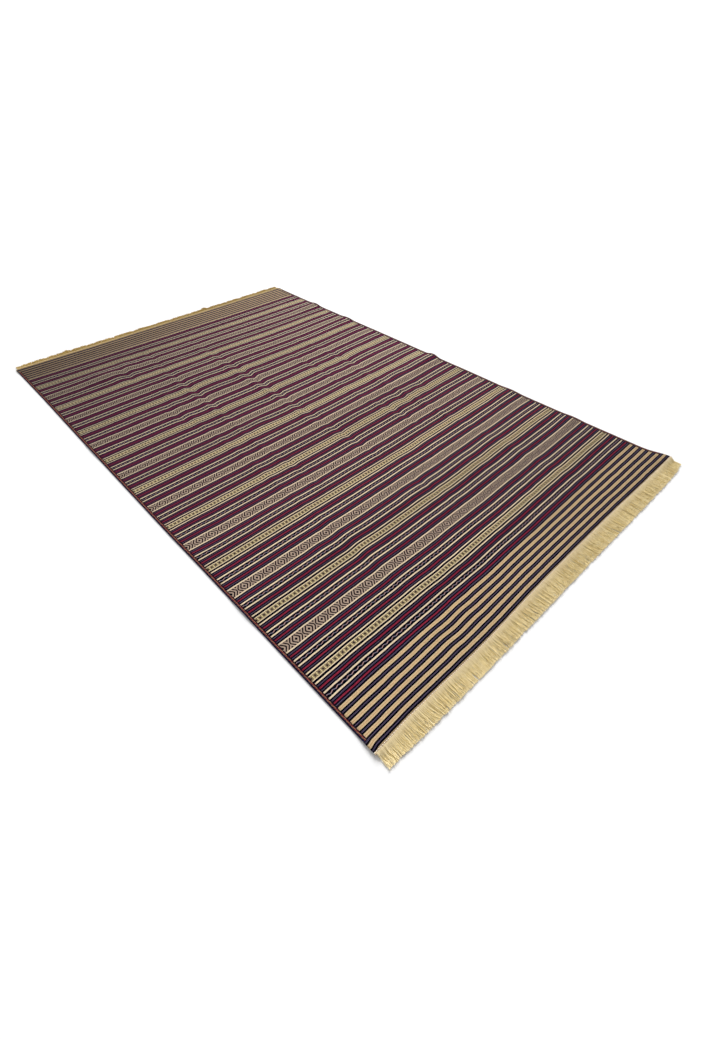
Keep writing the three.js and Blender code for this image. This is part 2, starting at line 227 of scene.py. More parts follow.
WEFT_WAVES = [
    {"x": -0.870, "v": 0.090, "rise": -0.0020, "half_width": 0.150, "half_length": 0.080},
    {"x": -0.600, "v": 0.120, "rise": 0.0025, "half_width": 0.120, "half_length": 0.130},
    {"x": -0.570, "v": 0.070, "rise": 0.0020, "half_width": 0.060, "half_length": 0.150},
    {"x": -0.430, "v": 0.130, "rise": 0.0020, "half_width": 0.070, "half_length": 0.130},
    {"x": -0.240, "v": 0.300, "rise": -0.0025, "half_width": 0.130, "half_length": 0.300},
    {"x": -0.170, "v": 0.190, "rise": -0.0024, "half_width": 0.160, "half_length": 0.160},
    {"x": 0.620, "v": 0.165, "rise": 0.0028, "half_width": 0.220, "half_length": 0.090},
    {"x": 1.000, "v": 0.030, "rise": -0.0028, "half_width": 0.160, "half_length": 0.080},
    {"x": -0.365, "v": 0.310, "rise": -0.0030, "half_width": 0.090, "half_length": 0.100},
    {"x": 0.320, "v": 0.300, "rise": -0.0022, "half_width": 0.060, "half_length": 0.090},
    {"x": 0.520, "v": 0.400, "rise": 0.0025, "half_width": 0.070, "half_length": 0.420},
    {"x": 0.980, "v": 0.400, "rise": 0.0030, "half_width": 0.100, "half_length": 0.320},
    {"x": 0.450, "v": 0.500, "rise": -0.0028, "half_width": 0.100, "half_length": 0.110},
    {"x": 0.800, "v": 0.520, "rise": -0.0028, "half_width": 0.200, "half_length": 0.110},
    {"x": -0.760, "v": 0.510, "rise": -0.0018, "half_width": 0.220, "half_length": 0.080},
    {"x": -0.460, "v": 0.600, "rise": 0.0025, "half_width": 0.130, "half_length": 0.380},
    {"x": -0.530, "v": 0.600, "rise": -0.0020, "half_width": 0.045, "half_length": 0.400},
    {"x": -0.445, "v": 0.620, "rise": 0.0015, "half_width": 0.060, "half_length": 0.250},
    {"x": 0.030, "v": 0.580, "rise": 0.0022, "half_width": 0.050, "half_length": 0.250},
    {"x": 0.370, "v": 0.620, "rise": -0.0030, "half_width": 0.100, "half_length": 0.380},
    {"x": 0.040, "v": 0.800, "rise": 0.0030, "half_width": 0.160, "half_length": 0.220},
    {"x": -0.840, "v": 0.800, "rise": -0.0016, "half_width": 0.200, "half_length": 0.080},
    {"x": 0.500, "v": 0.830, "rise": -0.0040, "half_width": 0.360, "half_length": 0.090},
    {"x": 0.800, "v": 0.910, "rise": -0.0040, "half_width": 0.100, "half_length": 0.080},
    {"x": -0.600, "v": 0.980, "rise": 0.0035, "half_width": 0.260, "half_length": 0.110},
    {"x": -1.000, "v": 1.030, "rise": 0.0045, "half_width": 0.120, "half_length": 0.100},
    {"x": 0.000, "v": 1.030, "rise": 0.0022, "half_width": 0.400, "half_length": 0.060},
    {"x": 0.600, "v": 1.010, "rise": 0.0030, "half_width": 0.160, "half_length": 0.080},
    {"x": -0.960, "v": 1.140, "rise": 0.0045, "half_width": 0.220, "half_length": 0.180},
    {"x": -0.200, "v": 1.120, "rise": -0.0040, "half_width": 0.240, "half_length": 0.100},
    {"x": -0.300, "v": 1.200, "rise": -0.0025, "half_width": 0.300, "half_length": 0.100},
    {"x": 0.500, "v": 1.250, "rise": -0.0030, "half_width": 0.060, "half_length": 0.090},
    {"x": 0.880, "v": 1.200, "rise": -0.0030, "half_width": 0.140, "half_length": 0.100},
    {"x": 0.780, "v": 1.290, "rise": -0.0045, "half_width": 0.240, "half_length": 0.130},
    {"x": 0.680, "v": 1.340, "rise": -0.0050, "half_width": 0.300, "half_length": 0.080},
    {"x": 0.640, "v": 1.480, "rise": 0.0140, "half_width": 0.160, "half_length": 0.090},
    {"x": -0.270, "v": 1.600, "rise": 0.0100, "half_width": 0.130, "half_length": 0.080},
    {"x": -0.400, "v": 1.600, "rise": 0.0040, "half_width": 0.060, "half_length": 0.080},
    {"x": -0.200, "v": 1.650, "rise": 0.0050, "half_width": 0.160, "half_length": 0.050},
    {"x": 0.100, "v": 1.600, "rise": -0.0040, "half_width": 0.180, "half_length": 0.090},
    {"x": 0.780, "v": 1.600, "rise": -0.0050, "half_width": 0.140, "half_length": 0.060},
    {"x": 0.380, "v": 1.780, "rise": 0.0040, "half_width": 0.070, "half_length": 0.180},
    {"x": -0.060, "v": 1.780, "rise": -0.0040, "half_width": 0.100, "half_length": 0.080},
    {"x": -0.350, "v": 1.800, "rise": -0.0030, "half_width": 0.050, "half_length": 0.150},
    {"x": 0.260, "v": 1.900, "rise": 0.0040, "half_width": 0.090, "half_length": 0.090},
    {"x": 0.760, "v": 1.950, "rise": -0.0040, "half_width": 0.160, "half_length": 0.260},
    {"x": 0.060, "v": 2.100, "rise": 0.0060, "half_width": 0.060, "half_length": 0.160},
    {"x": -0.330, "v": 2.150, "rise": -0.0130, "half_width": 0.030, "half_length": 0.550},
    {"x": -0.535, "v": 1.980, "rise": -0.0080, "half_width": 0.032, "half_length": 0.200},
    {"x": -0.590, "v": 2.580, "rise": 0.0080, "half_width": 0.060, "half_length": 0.160},
    {"x": -0.528, "v": 2.600, "rise": -0.0100, "half_width": 0.032, "half_length": 0.180},
    {"x": 0.006, "v": 2.050, "rise": -0.0120, "half_width": 0.032, "half_length": 1.000},
    {"x": -0.315, "v": 2.680, "rise": -0.0100, "half_width": 0.028, "half_length": 0.220},
    {"x": -0.480, "v": 2.700, "rise": 0.0080, "half_width": 0.070, "half_length": 0.200},
    {"x": 0.363, "v": 1.900, "rise": -0.0085, "half_width": 0.030, "half_length": 0.350},
    {"x": 0.356, "v": 1.180, "rise": -0.0080, "half_width": 0.034, "half_length": 0.250},
    {"x": 0.566, "v": 1.840, "rise": -0.0085, "half_width": 0.030, "half_length": 0.250},
    {"x": 0.480, "v": 1.280, "rise": -0.0070, "half_width": 0.050, "half_length": 0.140},
    {"x": 0.600, "v": 1.260, "rise": 0.0050, "half_width": 0.060, "half_length": 0.120},
    {"x": 0.670, "v": 1.280, "rise": -0.0060, "half_width": 0.045, "half_length": 0.110},
    {"x": 0.004, "v": 1.150, "rise": -0.0060, "half_width": 0.032, "half_length": 0.300},
    {"x": 0.000, "v": 0.690, "rise": -0.0045, "half_width": 0.030, "half_length": 0.100},
    {"x": -0.345, "v": 1.200, "rise": -0.0060, "half_width": 0.036, "half_length": 0.160},
    {"x": -0.345, "v": 1.030, "rise": -0.0040, "half_width": 0.036, "half_length": 0.060},
    {"x": -0.100, "v": 0.690, "rise": 0.0030, "half_width": 0.080, "half_length": 0.120},
    {"x": 0.150, "v": 0.900, "rise": -0.0030, "half_width": 0.100, "half_length": 0.070},
    {"x": -0.600, "v": 0.720, "rise": 0.0025, "half_width": 0.060, "half_length": 0.070},
]
CORNER_PULL = 0.006
CORNER_PULL_WIDTH = 0.030
CORNER_PULL_LENGTH = 0.060


def skew(u, v):
    """How far the weft runs ahead at a place, u from the left side and v from the near hem"""
    places = [0.0, *SKEW_PLACES.values(), 2 * HALF_WIDTH]
    columns = [eased(WEFT_SKEW, "v", name, v) for name in SKEW_PLACES]
    columns = [np.zeros_like(v), *columns, columns[-1]]
    total = np.zeros_like(v)
    for i in range(len(places) - 1):
        share = np.clip((u - places[i]) / (places[i + 1] - places[i]), 0, 1)
        inside = (u >= places[i]) & (u <= places[i + 1])
        blend = columns[i] + (columns[i + 1] - columns[i]) * (1 - hump(share))
        total = np.where(inside, blend, total)
    for w in WEFT_WAVES:
        across = hump((u - HALF_WIDTH - w["x"]) / w["half_width"])
        total = total + w["rise"] * across * hump((v - w["v"]) / w["half_length"])
    return total


def pattern_place(x, y):
    """The woven pattern's own coordinates: metres across, metres along, and half repeats"""
    u = x + HALF_WIDTH
    v = y + HALF_CLOTH - HEM_DEPTH
    v = v - skew(u, np.clip(v, 0, PATTERN_LENGTH))
    v = v + CORNER_PULL * hump(u / CORNER_PULL_WIDTH) * hump(v / CORNER_PULL_LENGTH)
    middles = np.sort([*LIGHT_BANDS, *DIAMOND_BANDS])
    before = [middles[0] - HALF_REPEAT, middles[0] - END_TWIST]
    after = [middles[-1] + END_TWIST, middles[-1] + HALF_REPEAT]
    last = len(middles) - 1
    counts = [-1.0, -0.5, *range(len(middles)), last + 0.5, last + 1.0]
    return u, v, np.interp(v, [*before, *middles, *after], counts)


print("Bands of motifs:", len(LIGHT_BANDS) + len(DIAMOND_BANDS))
print("Waves of the weft:", len(WEFT_WAVES))

# %% [markdown]
# The cloth is a thin closed sheet over a grid. An even grid would need tiny cells everywhere to
# hold the creases, so the grid lines stand close at creases and ripples and wider between them.
# Beside the side cords the outermost cells are left out, as on the solid.

# %% Weave the cloth's mesh
FINE_CELL = 0.0075
WIDE_CELL = 0.0165
FINE_MARGIN = 0.012
collection = bpy.context.scene.collection


def walk(start, end, spans):
    """Places from start to end, close together inside the spans and wide apart elsewhere"""
    places = [start]
    while places[-1] < end:
        near = any(low < places[-1] < high for low, high in spans)
        places.append(places[-1] + (FINE_CELL if near else WIDE_CELL))
    places = np.array(places)
    return start + (places - start) * (end - start) / (places[-1] - start)


def link(name, mesh):
    piece = bpy.data.objects.new(name, mesh)
    collection.objects.link(piece)
    return piece


def bake_map(mesh):
    """A plain map from above that fills the square, for pieces that lie flat"""
    places = np.empty(3 * len(mesh.vertices))
    mesh.vertices.foreach_get("co", places)
    places = places.reshape(-1, 3)[:, :2]
    low, high = places.min(0), places.max(0)
    write_map(mesh, "OFBake", (places - low) / (high - low))


def write_map(mesh, name, values):
    corners = np.empty(len(mesh.loops), dtype=np.int32)
    mesh.loops.foreach_get("vertex_index", corners)
    mesh.uv_layers.new(name=name).data.foreach_set("uv", values[corners].astype(np.float32).ravel())


def closed_quads(name, points, faces):
    """A mesh of four-sided faces without the points that no face uses"""
    used, corners = np.unique(np.array(faces), return_inverse=True)
    mesh = bpy.data.meshes.new(name)
    mesh.from_pydata(points[used].tolist(), [], corners.reshape(-1, 4).tolist())
    return mesh, used


def weave_cloth():
    reach = [(c["x"] - c["half_width"], c["x"] + c["half_width"]) for c in PACKING_CREASES]
    inner = walk(-CLOTH_EDGE, CLOTH_EDGE, [(a - FINE_MARGIN, b + FINE_MARGIN) for a, b in reach])
    columns = np.array([-HALF_WIDTH, *inner, HALF_WIDTH])
    waves = [(r["y"] - r["half_length"], r["y"] + r["half_length"]) for r in EDGE_RIPPLES]
    body = walk(-CORD_END, CORD_END, waves)
    hem = walk(CORD_END, HALF_CLOTH, [])
    rows = np.array([*-hem[:0:-1], *body, *hem[1:]])

    x, y = np.meshgrid(columns, rows, indexing="ij")
    u, v, repeats = (a.ravel() for a in pattern_place(x, y))
    px, py = plan(x, y)
    under = lift(x, y)
    bottom = np.stack([px, py, under], axis=-1).reshape(-1, 3)
    top = bottom + (0, 0, CLOTH_THICKNESS)

    cells = np.ones((len(columns) - 1, len(rows) - 1), dtype=bool)
    in_hem = np.abs((rows[1:] + rows[:-1]) / 2) > CORD_END
    cells[0, ~in_hem] = cells[-1, ~in_hem] = False
    i, j = np.nonzero(cells)

    def corner(column, row):
        return column * len(rows) + row

    upper = np.stack([corner(i, j), corner(i + 1, j), corner(i + 1, j + 1), corner(i, j + 1)], 1)
    faces = [*upper.tolist(), *(upper[:, ::-1] + len(top)).tolist()]
    smooth = len(faces)

    walls = {(-1, 0): ((0, 1), (0, 0)), (1, 0): ((1, 0), (1, 1))}
    walls.update({(0, -1): ((0, 0), (1, 0)), (0, 1): ((1, 1), (0, 1))})
    framed = np.pad(cells, 1)
    for (di, dj), ((ai, aj), (bi, bj)) in walls.items():
        beside = framed[1 + di : 1 + di + cells.shape[0], 1 + dj : 1 + dj + cells.shape[1]]
        i, j = np.nonzero(cells & ~beside)
        a, b = corner(i + ai, j + aj), corner(i + bi, j + bj)
        faces += np.stack([b, a, a + len(top), b + len(top)], 1).tolist()

    mesh, used = closed_quads("kilim_cloth", np.concatenate([top, bottom]), faces)
    mesh.polygons.foreach_set("use_smooth", np.arange(len(faces)) < smooth)
    write_map(mesh, "Weave", np.tile(np.stack([u, v], 1), (2, 1))[used])
    write_map(mesh, "Repeats", np.tile(np.stack([u, repeats], 1), (2, 1))[used])
    bake_map(mesh)
    return link("kilim_cloth", mesh)


cloth = weave_cloth()
print("Cloth faces:", len(cloth.data.polygons))

# %% [markdown]
# Shader trees hold many small sums, so a bench helper places a node, sets it and wires it in one
# call. It takes numbers and sockets alike.

# %% A bench for node trees


class Bench:
    """Places nodes in one tree and wires them"""

    def __init__(self, tree):
        self.tree = tree

    def join(self, value, socket):
        if isinstance(value, bpy.types.NodeSocket):
            self.tree.links.new(value, socket)
        else:
            socket.default_value = value

    def add(self, kind, inputs=None, **settings):
        node = self.tree.nodes.new(kind)
        for name, value in settings.items():
            setattr(node, name, value)
        for key, value in (inputs or {}).items():
            self.join(value, node.inputs[key])
        return node

    def math(self, operation, *values):
        return self.add("ShaderNodeMath", dict(enumerate(values)), operation=operation).outputs[0]

    def within(self, value, low, high):
        """1 where the value lies from low to high, else 0"""
        above = self.math("GREATER_THAN", value, low)
        return self.math("MULTIPLY", above, self.math("LESS_THAN", value, high))

    def stretch(self, value, low, high, out_low=0.0, out_high=1.0):
        numbers = {0: value, 1: low, 2: high, 3: out_low, 4: out_high}
        return self.add("ShaderNodeMapRange", numbers).outputs[0]

    def blend(self, share, first, second, kind="MIX"):
        colours = {0: share, 6: first, 7: second}
        return self.add("ShaderNodeMix", colours, data_type="RGBA", blend_type=kind).outputs[2]

    def noise(self, vector, scale, detail=2.0, roughness=0.5):
        inputs = {"Vector": vector, "Scale": scale, "Detail": detail, "Roughness": roughness}
        return self.add("ShaderNodeTexNoise", inputs).outputs[0]

    def chart(self, place, stripes):
        """A colour for each stripe, from where it starts to where the next one does"""
        node = self.add("ShaderNodeValToRGB", {"Fac": place})
        ramp = node.color_ramp
        ramp.interpolation = "CONSTANT"
        ramp.elements.remove(ramp.elements[1])
        ramp.elements[0].position = 0.0
        ramp.elements[0].color = stripes[0][1]
        for start, colour in stripes[1:]:
            ramp.elements.new(start).color = colour
        return node.outputs["Color"]


def shader_group(name, inputs, outputs):
    """An empty shader group with named sockets: the bench, its inputs by name, and its end node"""
    tree = bpy.data.node_groups.new(name, "ShaderNodeTree")
    for label, kind, value in inputs:
        socket = tree.interface.new_socket(label, in_out="INPUT", socket_type=kind)
        if value is not None:
            socket.default_value = value
    for label, kind in outputs:
        tree.interface.new_socket(label, in_out="OUTPUT", socket_type=kind)
    given = tree.nodes.new("NodeGroupInput").outputs
    return Bench(tree), given, tree.nodes.new("NodeGroupOutput").inputs


FLOAT = "NodeSocketFloat"
VECTOR = "NodeSocketVector"
WHOLE = "NodeSocketInt"
print("Kinds of input on the bench:", FLOAT, VECTOR, WHOLE)

# %% [markdown]
# Weft-faced cloth shows fine ribs that run along the rug, one over each warp, and the weft covers
# them in small beads that sit half a step apart from rib to rib. A brick or voronoi texture could
# imitate that. Two sine waves are closer to the real crossing, and they also give each bead a cell
# number, so that no two beads take the dye quite alike.

# %% The plain weave group
WARP_PITCH = 0.0021
WEFT_PITCH = 0.0013
RIB_ROUNDING = 0.7
BEAD_SWELL = 0.45

bench, given, out = shader_group(
    "Plain weave",
    [
        ("Across", FLOAT, 0.0),
        ("Along", FLOAT, 0.0),
        ("Warp pitch", FLOAT, WARP_PITCH),
        ("Weft pitch", FLOAT, WEFT_PITCH),
    ],
    [("Height", FLOAT), ("Bead", FLOAT), ("Rib", FLOAT)],
)
warps = bench.math("DIVIDE", given["Across"], given["Warp pitch"])
rib = bench.math("ABSOLUTE", bench.math("SINE", bench.math("MULTIPLY", warps, math.pi)))
column = bench.math("FLOOR", warps)
half_step = bench.math("MULTIPLY", bench.math("FLOORED_MODULO", column, 2.0), 0.5)
wefts = bench.math("ADD", bench.math("DIVIDE", given["Along"], given["Weft pitch"]), half_step)
bead = bench.math("ABSOLUTE", bench.math("SINE", bench.math("MULTIPLY", wefts, math.pi)))
rounded = bench.math("MULTIPLY_ADD", bead, BEAD_SWELL, 1 - BEAD_SWELL)
cell = bench.add("ShaderNodeCombineXYZ", {0: column, 1: bench.math("FLOOR", wefts)}).outputs[0]
dye = bench.add("ShaderNodeTexWhiteNoise", {"Vector": cell}, noise_dimensions="2D").outputs[0]
bench.join(bench.math("MULTIPLY", bench.math("POWER", rib, RIB_ROUNDING), rounded), out["Height"])
bench.join(dye, out["Bead"])
bench.join(rib, out["Rib"])
print("Group:", bench.tree.name)

# %% [markdown]
# Three small motifs repeat across the rug. Each is a rule on two distances, from the middle of its
# band and from the middle of its repeat, so each is a group that puts out masks. The first is a
# band of nested diamonds, whose rings are lines of nearly equal |x| + |y|, with small upright
# crosses where two diamonds meet.

# %% The nested diamonds
MOTIF_PLACE = [("Across", FLOAT, 0.0), ("From middle", FLOAT, 0.0)]
DIAMOND_PITCH = 0.0574
DIAMOND_START = 0.0166
DIAMOND_RING = 0.0122
DIAMOND_FIRST_LIGHT = 0.0080
DIAMOND_CURVE = 0.0031
DIAMOND_SLOPE = 0.28
DIAMOND_HALF_HEIGHT = 0.01775
DIAMOND_DOT = 0.0060
RING_EDGE = (-0.2, 0.25)
CROSS_HALF = 0.0017
CROSS_HEIGHT = 0.0072
CROSS_TONE = 0.75

bench, given, out = shader_group("Nested diamonds", MOTIF_PLACE, [("Light", FLOAT), ("Dot", FLOAT)])
from_start = bench.math("SUBTRACT", given["Across"], DIAMOND_START)
sideways = bench.math("PINGPONG", from_start, DIAMOND_PITCH / 2)
off_middle = bench.math("ABSOLUTE", given["From middle"])
climb = bench.math("COSINE", bench.math("MULTIPLY", off_middle, math.pi / DIAMOND_HALF_HEIGHT))
curved = bench.math("MULTIPLY", bench.math("SUBTRACT", 1.0, climb), DIAMOND_CURVE)
height = bench.math("MULTIPLY_ADD", off_middle, DIAMOND_SLOPE, curved)
reach = bench.math("ADD", sideways, height)
turns = bench.math("DIVIDE", bench.math("SUBTRACT", reach, DIAMOND_FIRST_LIGHT), DIAMOND_RING)
ring = bench.math("COSINE", bench.math("MULTIPLY", turns, 2 * math.pi))
heart = bench.math("LESS_THAN", reach, DIAMOND_FIRST_LIGHT)
light = bench.math("MAXIMUM", bench.stretch(ring, *RING_EDGE), heart)
to_cross = bench.math("SUBTRACT", DIAMOND_PITCH / 2, sideways)
upright = bench.math("MULTIPLY", bench.math("LESS_THAN", to_cross, CROSS_HALF), CROSS_TONE)
upright = bench.math("MULTIPLY", upright, bench.math("LESS_THAN", off_middle, CROSS_HEIGHT))
bench.join(bench.math("MAXIMUM", light, upright), out["Light"])
from_dot = bench.math("ADD", sideways, off_middle)
bench.join(bench.math("LESS_THAN", from_dot, DIAMOND_DOT), out["Dot"])
print("Group:", bench.tree.name)

# %% [markdown]
# The second motif is a row of squares with a star in each. The star is every point that lies close
# to an upright line or to a slanting one.

# %% The starred squares
SQUARE_PITCH = 0.0172
SQUARE_HALF = 0.0073
SQUARE_TALLER = 1.15
STAR_LINE = 0.0013
STAR_UPRIGHT = 1.5
STAR_SLANT = 0.85

bench, given, out = shader_group("Starred squares", MOTIF_PLACE, [("Square", FLOAT), ("Star", FLOAT)])
sideways = bench.math("PINGPONG", given["Across"], SQUARE_PITCH / 2)
upwards = bench.math("DIVIDE", bench.math("ABSOLUTE", given["From middle"]), SQUARE_TALLER)
slanting = bench.math("ABSOLUTE", bench.math("SUBTRACT", sideways, upwards))
upright = bench.math("MULTIPLY", bench.math("MINIMUM", sideways, upwards), STAR_UPRIGHT)
nearest = bench.math("MINIMUM", upright, bench.math("MULTIPLY", slanting, STAR_SLANT))
farther = bench.math("MAXIMUM", sideways, upwards)
bench.join(bench.math("LESS_THAN", farther, SQUARE_HALF), out["Square"])
bench.join(bench.math("LESS_THAN", nearest, STAR_LINE), out["Star"])
print("Group:", bench.tree.name)

# %% [markdown]
# The third motif is a twist, a zigzag that rises in one yarn and falls in another.

# %% The two-yarn twist
TWIST_PITCH = 0.0230
TWIST_START = 0.0080
TWIST_RISE_SHARE = 0.5
TWIST_SWING = 0.0020
TWIST_HALF_YARN = 0.0014

bench, given, out = shader_group("Twist", MOTIF_PLACE, [("Rising", FLOAT), ("Falling", FLOAT)])
from_start = bench.math("SUBTRACT", given["Across"], TWIST_START)
turn = bench.math("FRACT", bench.math("DIVIDE", from_start, TWIST_PITCH))
climbs = bench.math("LESS_THAN", turn, TWIST_RISE_SHARE)
up = bench.stretch(turn, 0.0, TWIST_RISE_SHARE, -TWIST_SWING, TWIST_SWING)
down = bench.stretch(turn, TWIST_RISE_SHARE, 1.0, TWIST_SWING, -TWIST_SWING)
off_up = bench.math("ABSOLUTE", bench.math("SUBTRACT", given["From middle"], up))
off_down = bench.math("ABSOLUTE", bench.math("SUBTRACT", given["From middle"], down))
on_up = bench.math("LESS_THAN", off_up, TWIST_HALF_YARN)
on_down = bench.math("LESS_THAN", off_down, TWIST_HALF_YARN)
bench.join(bench.math("MULTIPLY", on_up, climbs), out["Rising"])
bench.join(bench.math("MULTIPLY", on_down, bench.math("SUBTRACT", 1.0, climbs)), out["Falling"])
print("Group:", bench.tree.name)

# %% [markdown]
# The rug mirrors itself at every band of motifs, so one half repeat is all that the weaver has to
# remember. The chart below is that half repeat, from the middle of a light band to the middle of a
# diamond band, and the end zone's pair of stripes. A colour ramp with constant steps holds each
# chart exactly. The yarns' colours are given as the eye reads them and turned into light values.

# %% Yarn colours and stripe charts
STUDIO_LIGHT = 1.20


def dyed(red, green, blue):
    seen = np.array([red, green, blue]) / 255
    light = np.where(seen <= 0.04045, seen / 12.92, ((seen + 0.055) / 1.055) ** 2.4)
    return (*(light / STUDIO_LIGHT).tolist(), 1.0)


YARNS = {
    "cream": dyed(238, 216, 184),
    "ochre": dyed(222, 206, 156),
    "tan": dyed(215, 188, 148),
    "amber": dyed(202, 162, 112),
    "black": dyed(5, 2, 12),
    "navy": dyed(9, 5, 20),
    "grey": dyed(102, 92, 120),
    "red": dyed(176, 52, 74),
    "maroon": dyed(76, 18, 40),
    "salmon": dyed(182, 144, 142),
    "slate": dyed(130, 126, 146),
    "brown": dyed(54, 42, 46),
    "taupe": dyed(186, 166, 122),
    "flax": dyed(180, 158, 140),
    "bark": dyed(22, 12, 20),
    "border": dyed(32, 22, 42),
    "plum": dyed(104, 46, 78),
    "wine": dyed(50, 14, 42),
    "crimson": dyed(150, 48, 74),
    "garnet": dyed(92, 26, 56),
    "pale": dyed(254, 234, 200),
    "straw": dyed(204, 185, 136),
    "hazel": dyed(90, 75, 68),
}
CHARTED_HALF = 147.5
HALF_REPEAT_CHART = [
    {"yarn": "ochre", "from_mm": 0.0},
    {"yarn": "cream", "from_mm": 9.0, "later": "pale"},
    {"yarn": "black", "from_mm": 11.4},
    {"yarn": "cream", "from_mm": 19.1, "later": "pale"},
    {"yarn": "cream", "from_mm": 23.2, "later": "wine"},
    {"yarn": "black", "from_mm": 24.4, "later": "wine"},
    {"yarn": "grey", "from_mm": 30.0, "between": "navy", "later": "plum", "between_later": "wine"},
    {"yarn": "navy", "from_mm": 33.8, "later": "wine"},
    {"yarn": "red", "from_mm": 39.0, "between": "maroon", "later": "crimson", "between_later": "garnet"},
    {"yarn": "navy", "from_mm": 44.7, "later": "wine"},
    {"yarn": "grey", "from_mm": 49.6, "between": "navy", "later": "plum", "between_later": "wine"},
    {"yarn": "black", "from_mm": 52.8, "later": "wine"},
    {"yarn": "cream", "from_mm": 58.5, "later": "wine"},
    {"yarn": "cream", "from_mm": 59.7, "later": "pale"},
    {"yarn": "black", "from_mm": 64.3},
    {"yarn": "cream", "from_mm": 82.9, "later": "pale"},
    {"yarn": "cream", "from_mm": 87.1, "later": "wine"},
    {"yarn": "black", "from_mm": 88.3, "later": "wine"},
    {"yarn": "grey", "from_mm": 93.9, "between": "navy", "later": "plum", "between_later": "wine"},
    {"yarn": "navy", "from_mm": 97.4, "later": "wine"},
    {"yarn": "red", "from_mm": 102.6, "between": "maroon", "later": "crimson", "between_later": "garnet"},
    {"yarn": "navy", "from_mm": 108.1, "later": "wine"},
    {"yarn": "grey", "from_mm": 112.9, "between": "navy", "later": "plum", "between_later": "wine"},
    {"yarn": "black", "from_mm": 116.7, "later": "wine"},
    {"yarn": "cream", "from_mm": 123.1, "later": "wine"},
    {"yarn": "cream", "from_mm": 124.3, "later": "pale"},
    {"yarn": "bark", "from_mm": 129.0},
]
PAIR_PITCH_MM = 27.7
PAIR_CHART = [
    {"yarn": "black", "from_mm": 0.0},
    {"yarn": "grey", "from_mm": 5.8, "between": "navy"},
    {"yarn": "black", "from_mm": 9.8},
    {"yarn": "tan", "from_mm": 15.4},
    {"yarn": "amber", "from_mm": 20.2},
    {"yarn": "tan", "from_mm": 22.8},
]
DOT_PITCH = 0.0042
DOT_SHARE = 0.58
END_ZONE_START = -0.0020
END_ZONE_END = 0.167
TWIST_MIDDLE = 0.0741
TWIST_HALF = 0.006
SQUARES_HALF = 0.0079
DIAMONDS_HALF = 0.0179


def stripes(chart, length_mm, *columns):
    """The chart as places and colours: each row by the first of the columns that it has"""
    names = [next(row[c] for c in (*columns, "yarn") if c in row) for row in chart]
    return [(row["from_mm"] / length_mm, YARNS[name]) for row, name in zip(chart, names)]


print("Stripes in the half repeat:", len(HALF_REPEAT_CHART))

# %% [markdown]
# The cloth's material lays the charts along the UV maps. First the maps are wavered by a fraction
# of a millimetre, as hand-beaten weft is. What the pattern is drawn from is kept by name.

# %% Where the pattern lies
WAVER = 0.0016
WAVER_SCALE = 13.0
SCALLOP = 0.0002
MIDDLE_OF_NOISE = (0.3, 0.7)
NEXT_DYE_LOT = (0.8, 2.0)


def new_material(name):
    material = bpy.data.materials.new(name)
    material.use_nodes = True
    shader = material.node_tree.nodes["Principled BSDF"]
    return material, Bench(material.node_tree), shader


def pattern_sockets(b):
    """The places and distances that the pattern is drawn from, by name"""
    weave_map = b.add("ShaderNodeUVMap", uv_map="Weave").outputs[0]
    repeat_map = b.add("ShaderNodeUVMap", uv_map="Repeats").outputs[0]
    across, along = b.add("ShaderNodeSeparateXYZ", {0: weave_map}).outputs[:2]
    repeats = b.add("ShaderNodeSeparateXYZ", {0: repeat_map}).outputs[1]
    weave = b.add("ShaderNodeGroup", node_tree=bpy.data.node_groups["Plain weave"])
    threads = {"Across": across, "Along": along, "Warp pitch": WARP_PITCH, "Weft pitch": WEFT_PITCH}
    for label, value in threads.items():
        b.join(value, weave.inputs[label])
    slow = b.stretch(b.noise(weave_map, WAVER_SCALE, 3.0), *MIDDLE_OF_NOISE, -WAVER / 2, WAVER / 2)
    waver = b.math("MULTIPLY_ADD", weave.outputs["Rib"], SCALLOP, slow)
    v = b.math("ADD", along, waver)
    from_light = b.math("PINGPONG", b.math("ADD", repeats, b.math("DIVIDE", waver, HALF_REPEAT)), 1.0)
    return {
        "map": weave_map,
        "across": across,
        "along": along,
        "repeats": repeats,
        "weave": weave.outputs,
        "from_light": from_light,
        "metres": b.math("MULTIPLY", from_light, CHARTED_HALF / 1000),
        "from_end": b.math("MINIMUM", v, b.math("SUBTRACT", PATTERN_LENGTH, v)),
        "lot": b.stretch(along, *NEXT_DYE_LOT),
    }


print("The next dye lot comes in between, m:", NEXT_DYE_LOT)

# %% [markdown]
# Then come the field and its motifs. Past the first metre the weaver took up new lots: a redder
# grey and navy, and a paler cream in finer lines. So each chart is laid in both lots, and the cloth
# goes over from the one to the other along its length.

# %% Stripes and motifs of the field
def dotted(b, places, at, chart, length_mm):
    """A chart of stripes, some of them with dots of their yarn on another"""
    dots = b.math("FRACT", b.math("DIVIDE", places["across"], DOT_PITCH))
    dots = b.math("LESS_THAN", dots, DOT_SHARE)
    lots = []
    for dots_of, between in (("yarn", "between"), ("later", "between_later")):
        gaps = b.chart(at, stripes(chart, length_mm, between, dots_of))
        lots.append(b.blend(dots, gaps, b.chart(at, stripes(chart, length_mm, dots_of))))
    return b.blend(places["lot"], *lots)


def motif(b, places, name, off_middle):
    node = b.add("ShaderNodeGroup", node_tree=bpy.data.node_groups[name])
    b.join(places["across"], node.inputs["Across"])
    b.join(off_middle, node.inputs["From middle"])
    return node.outputs


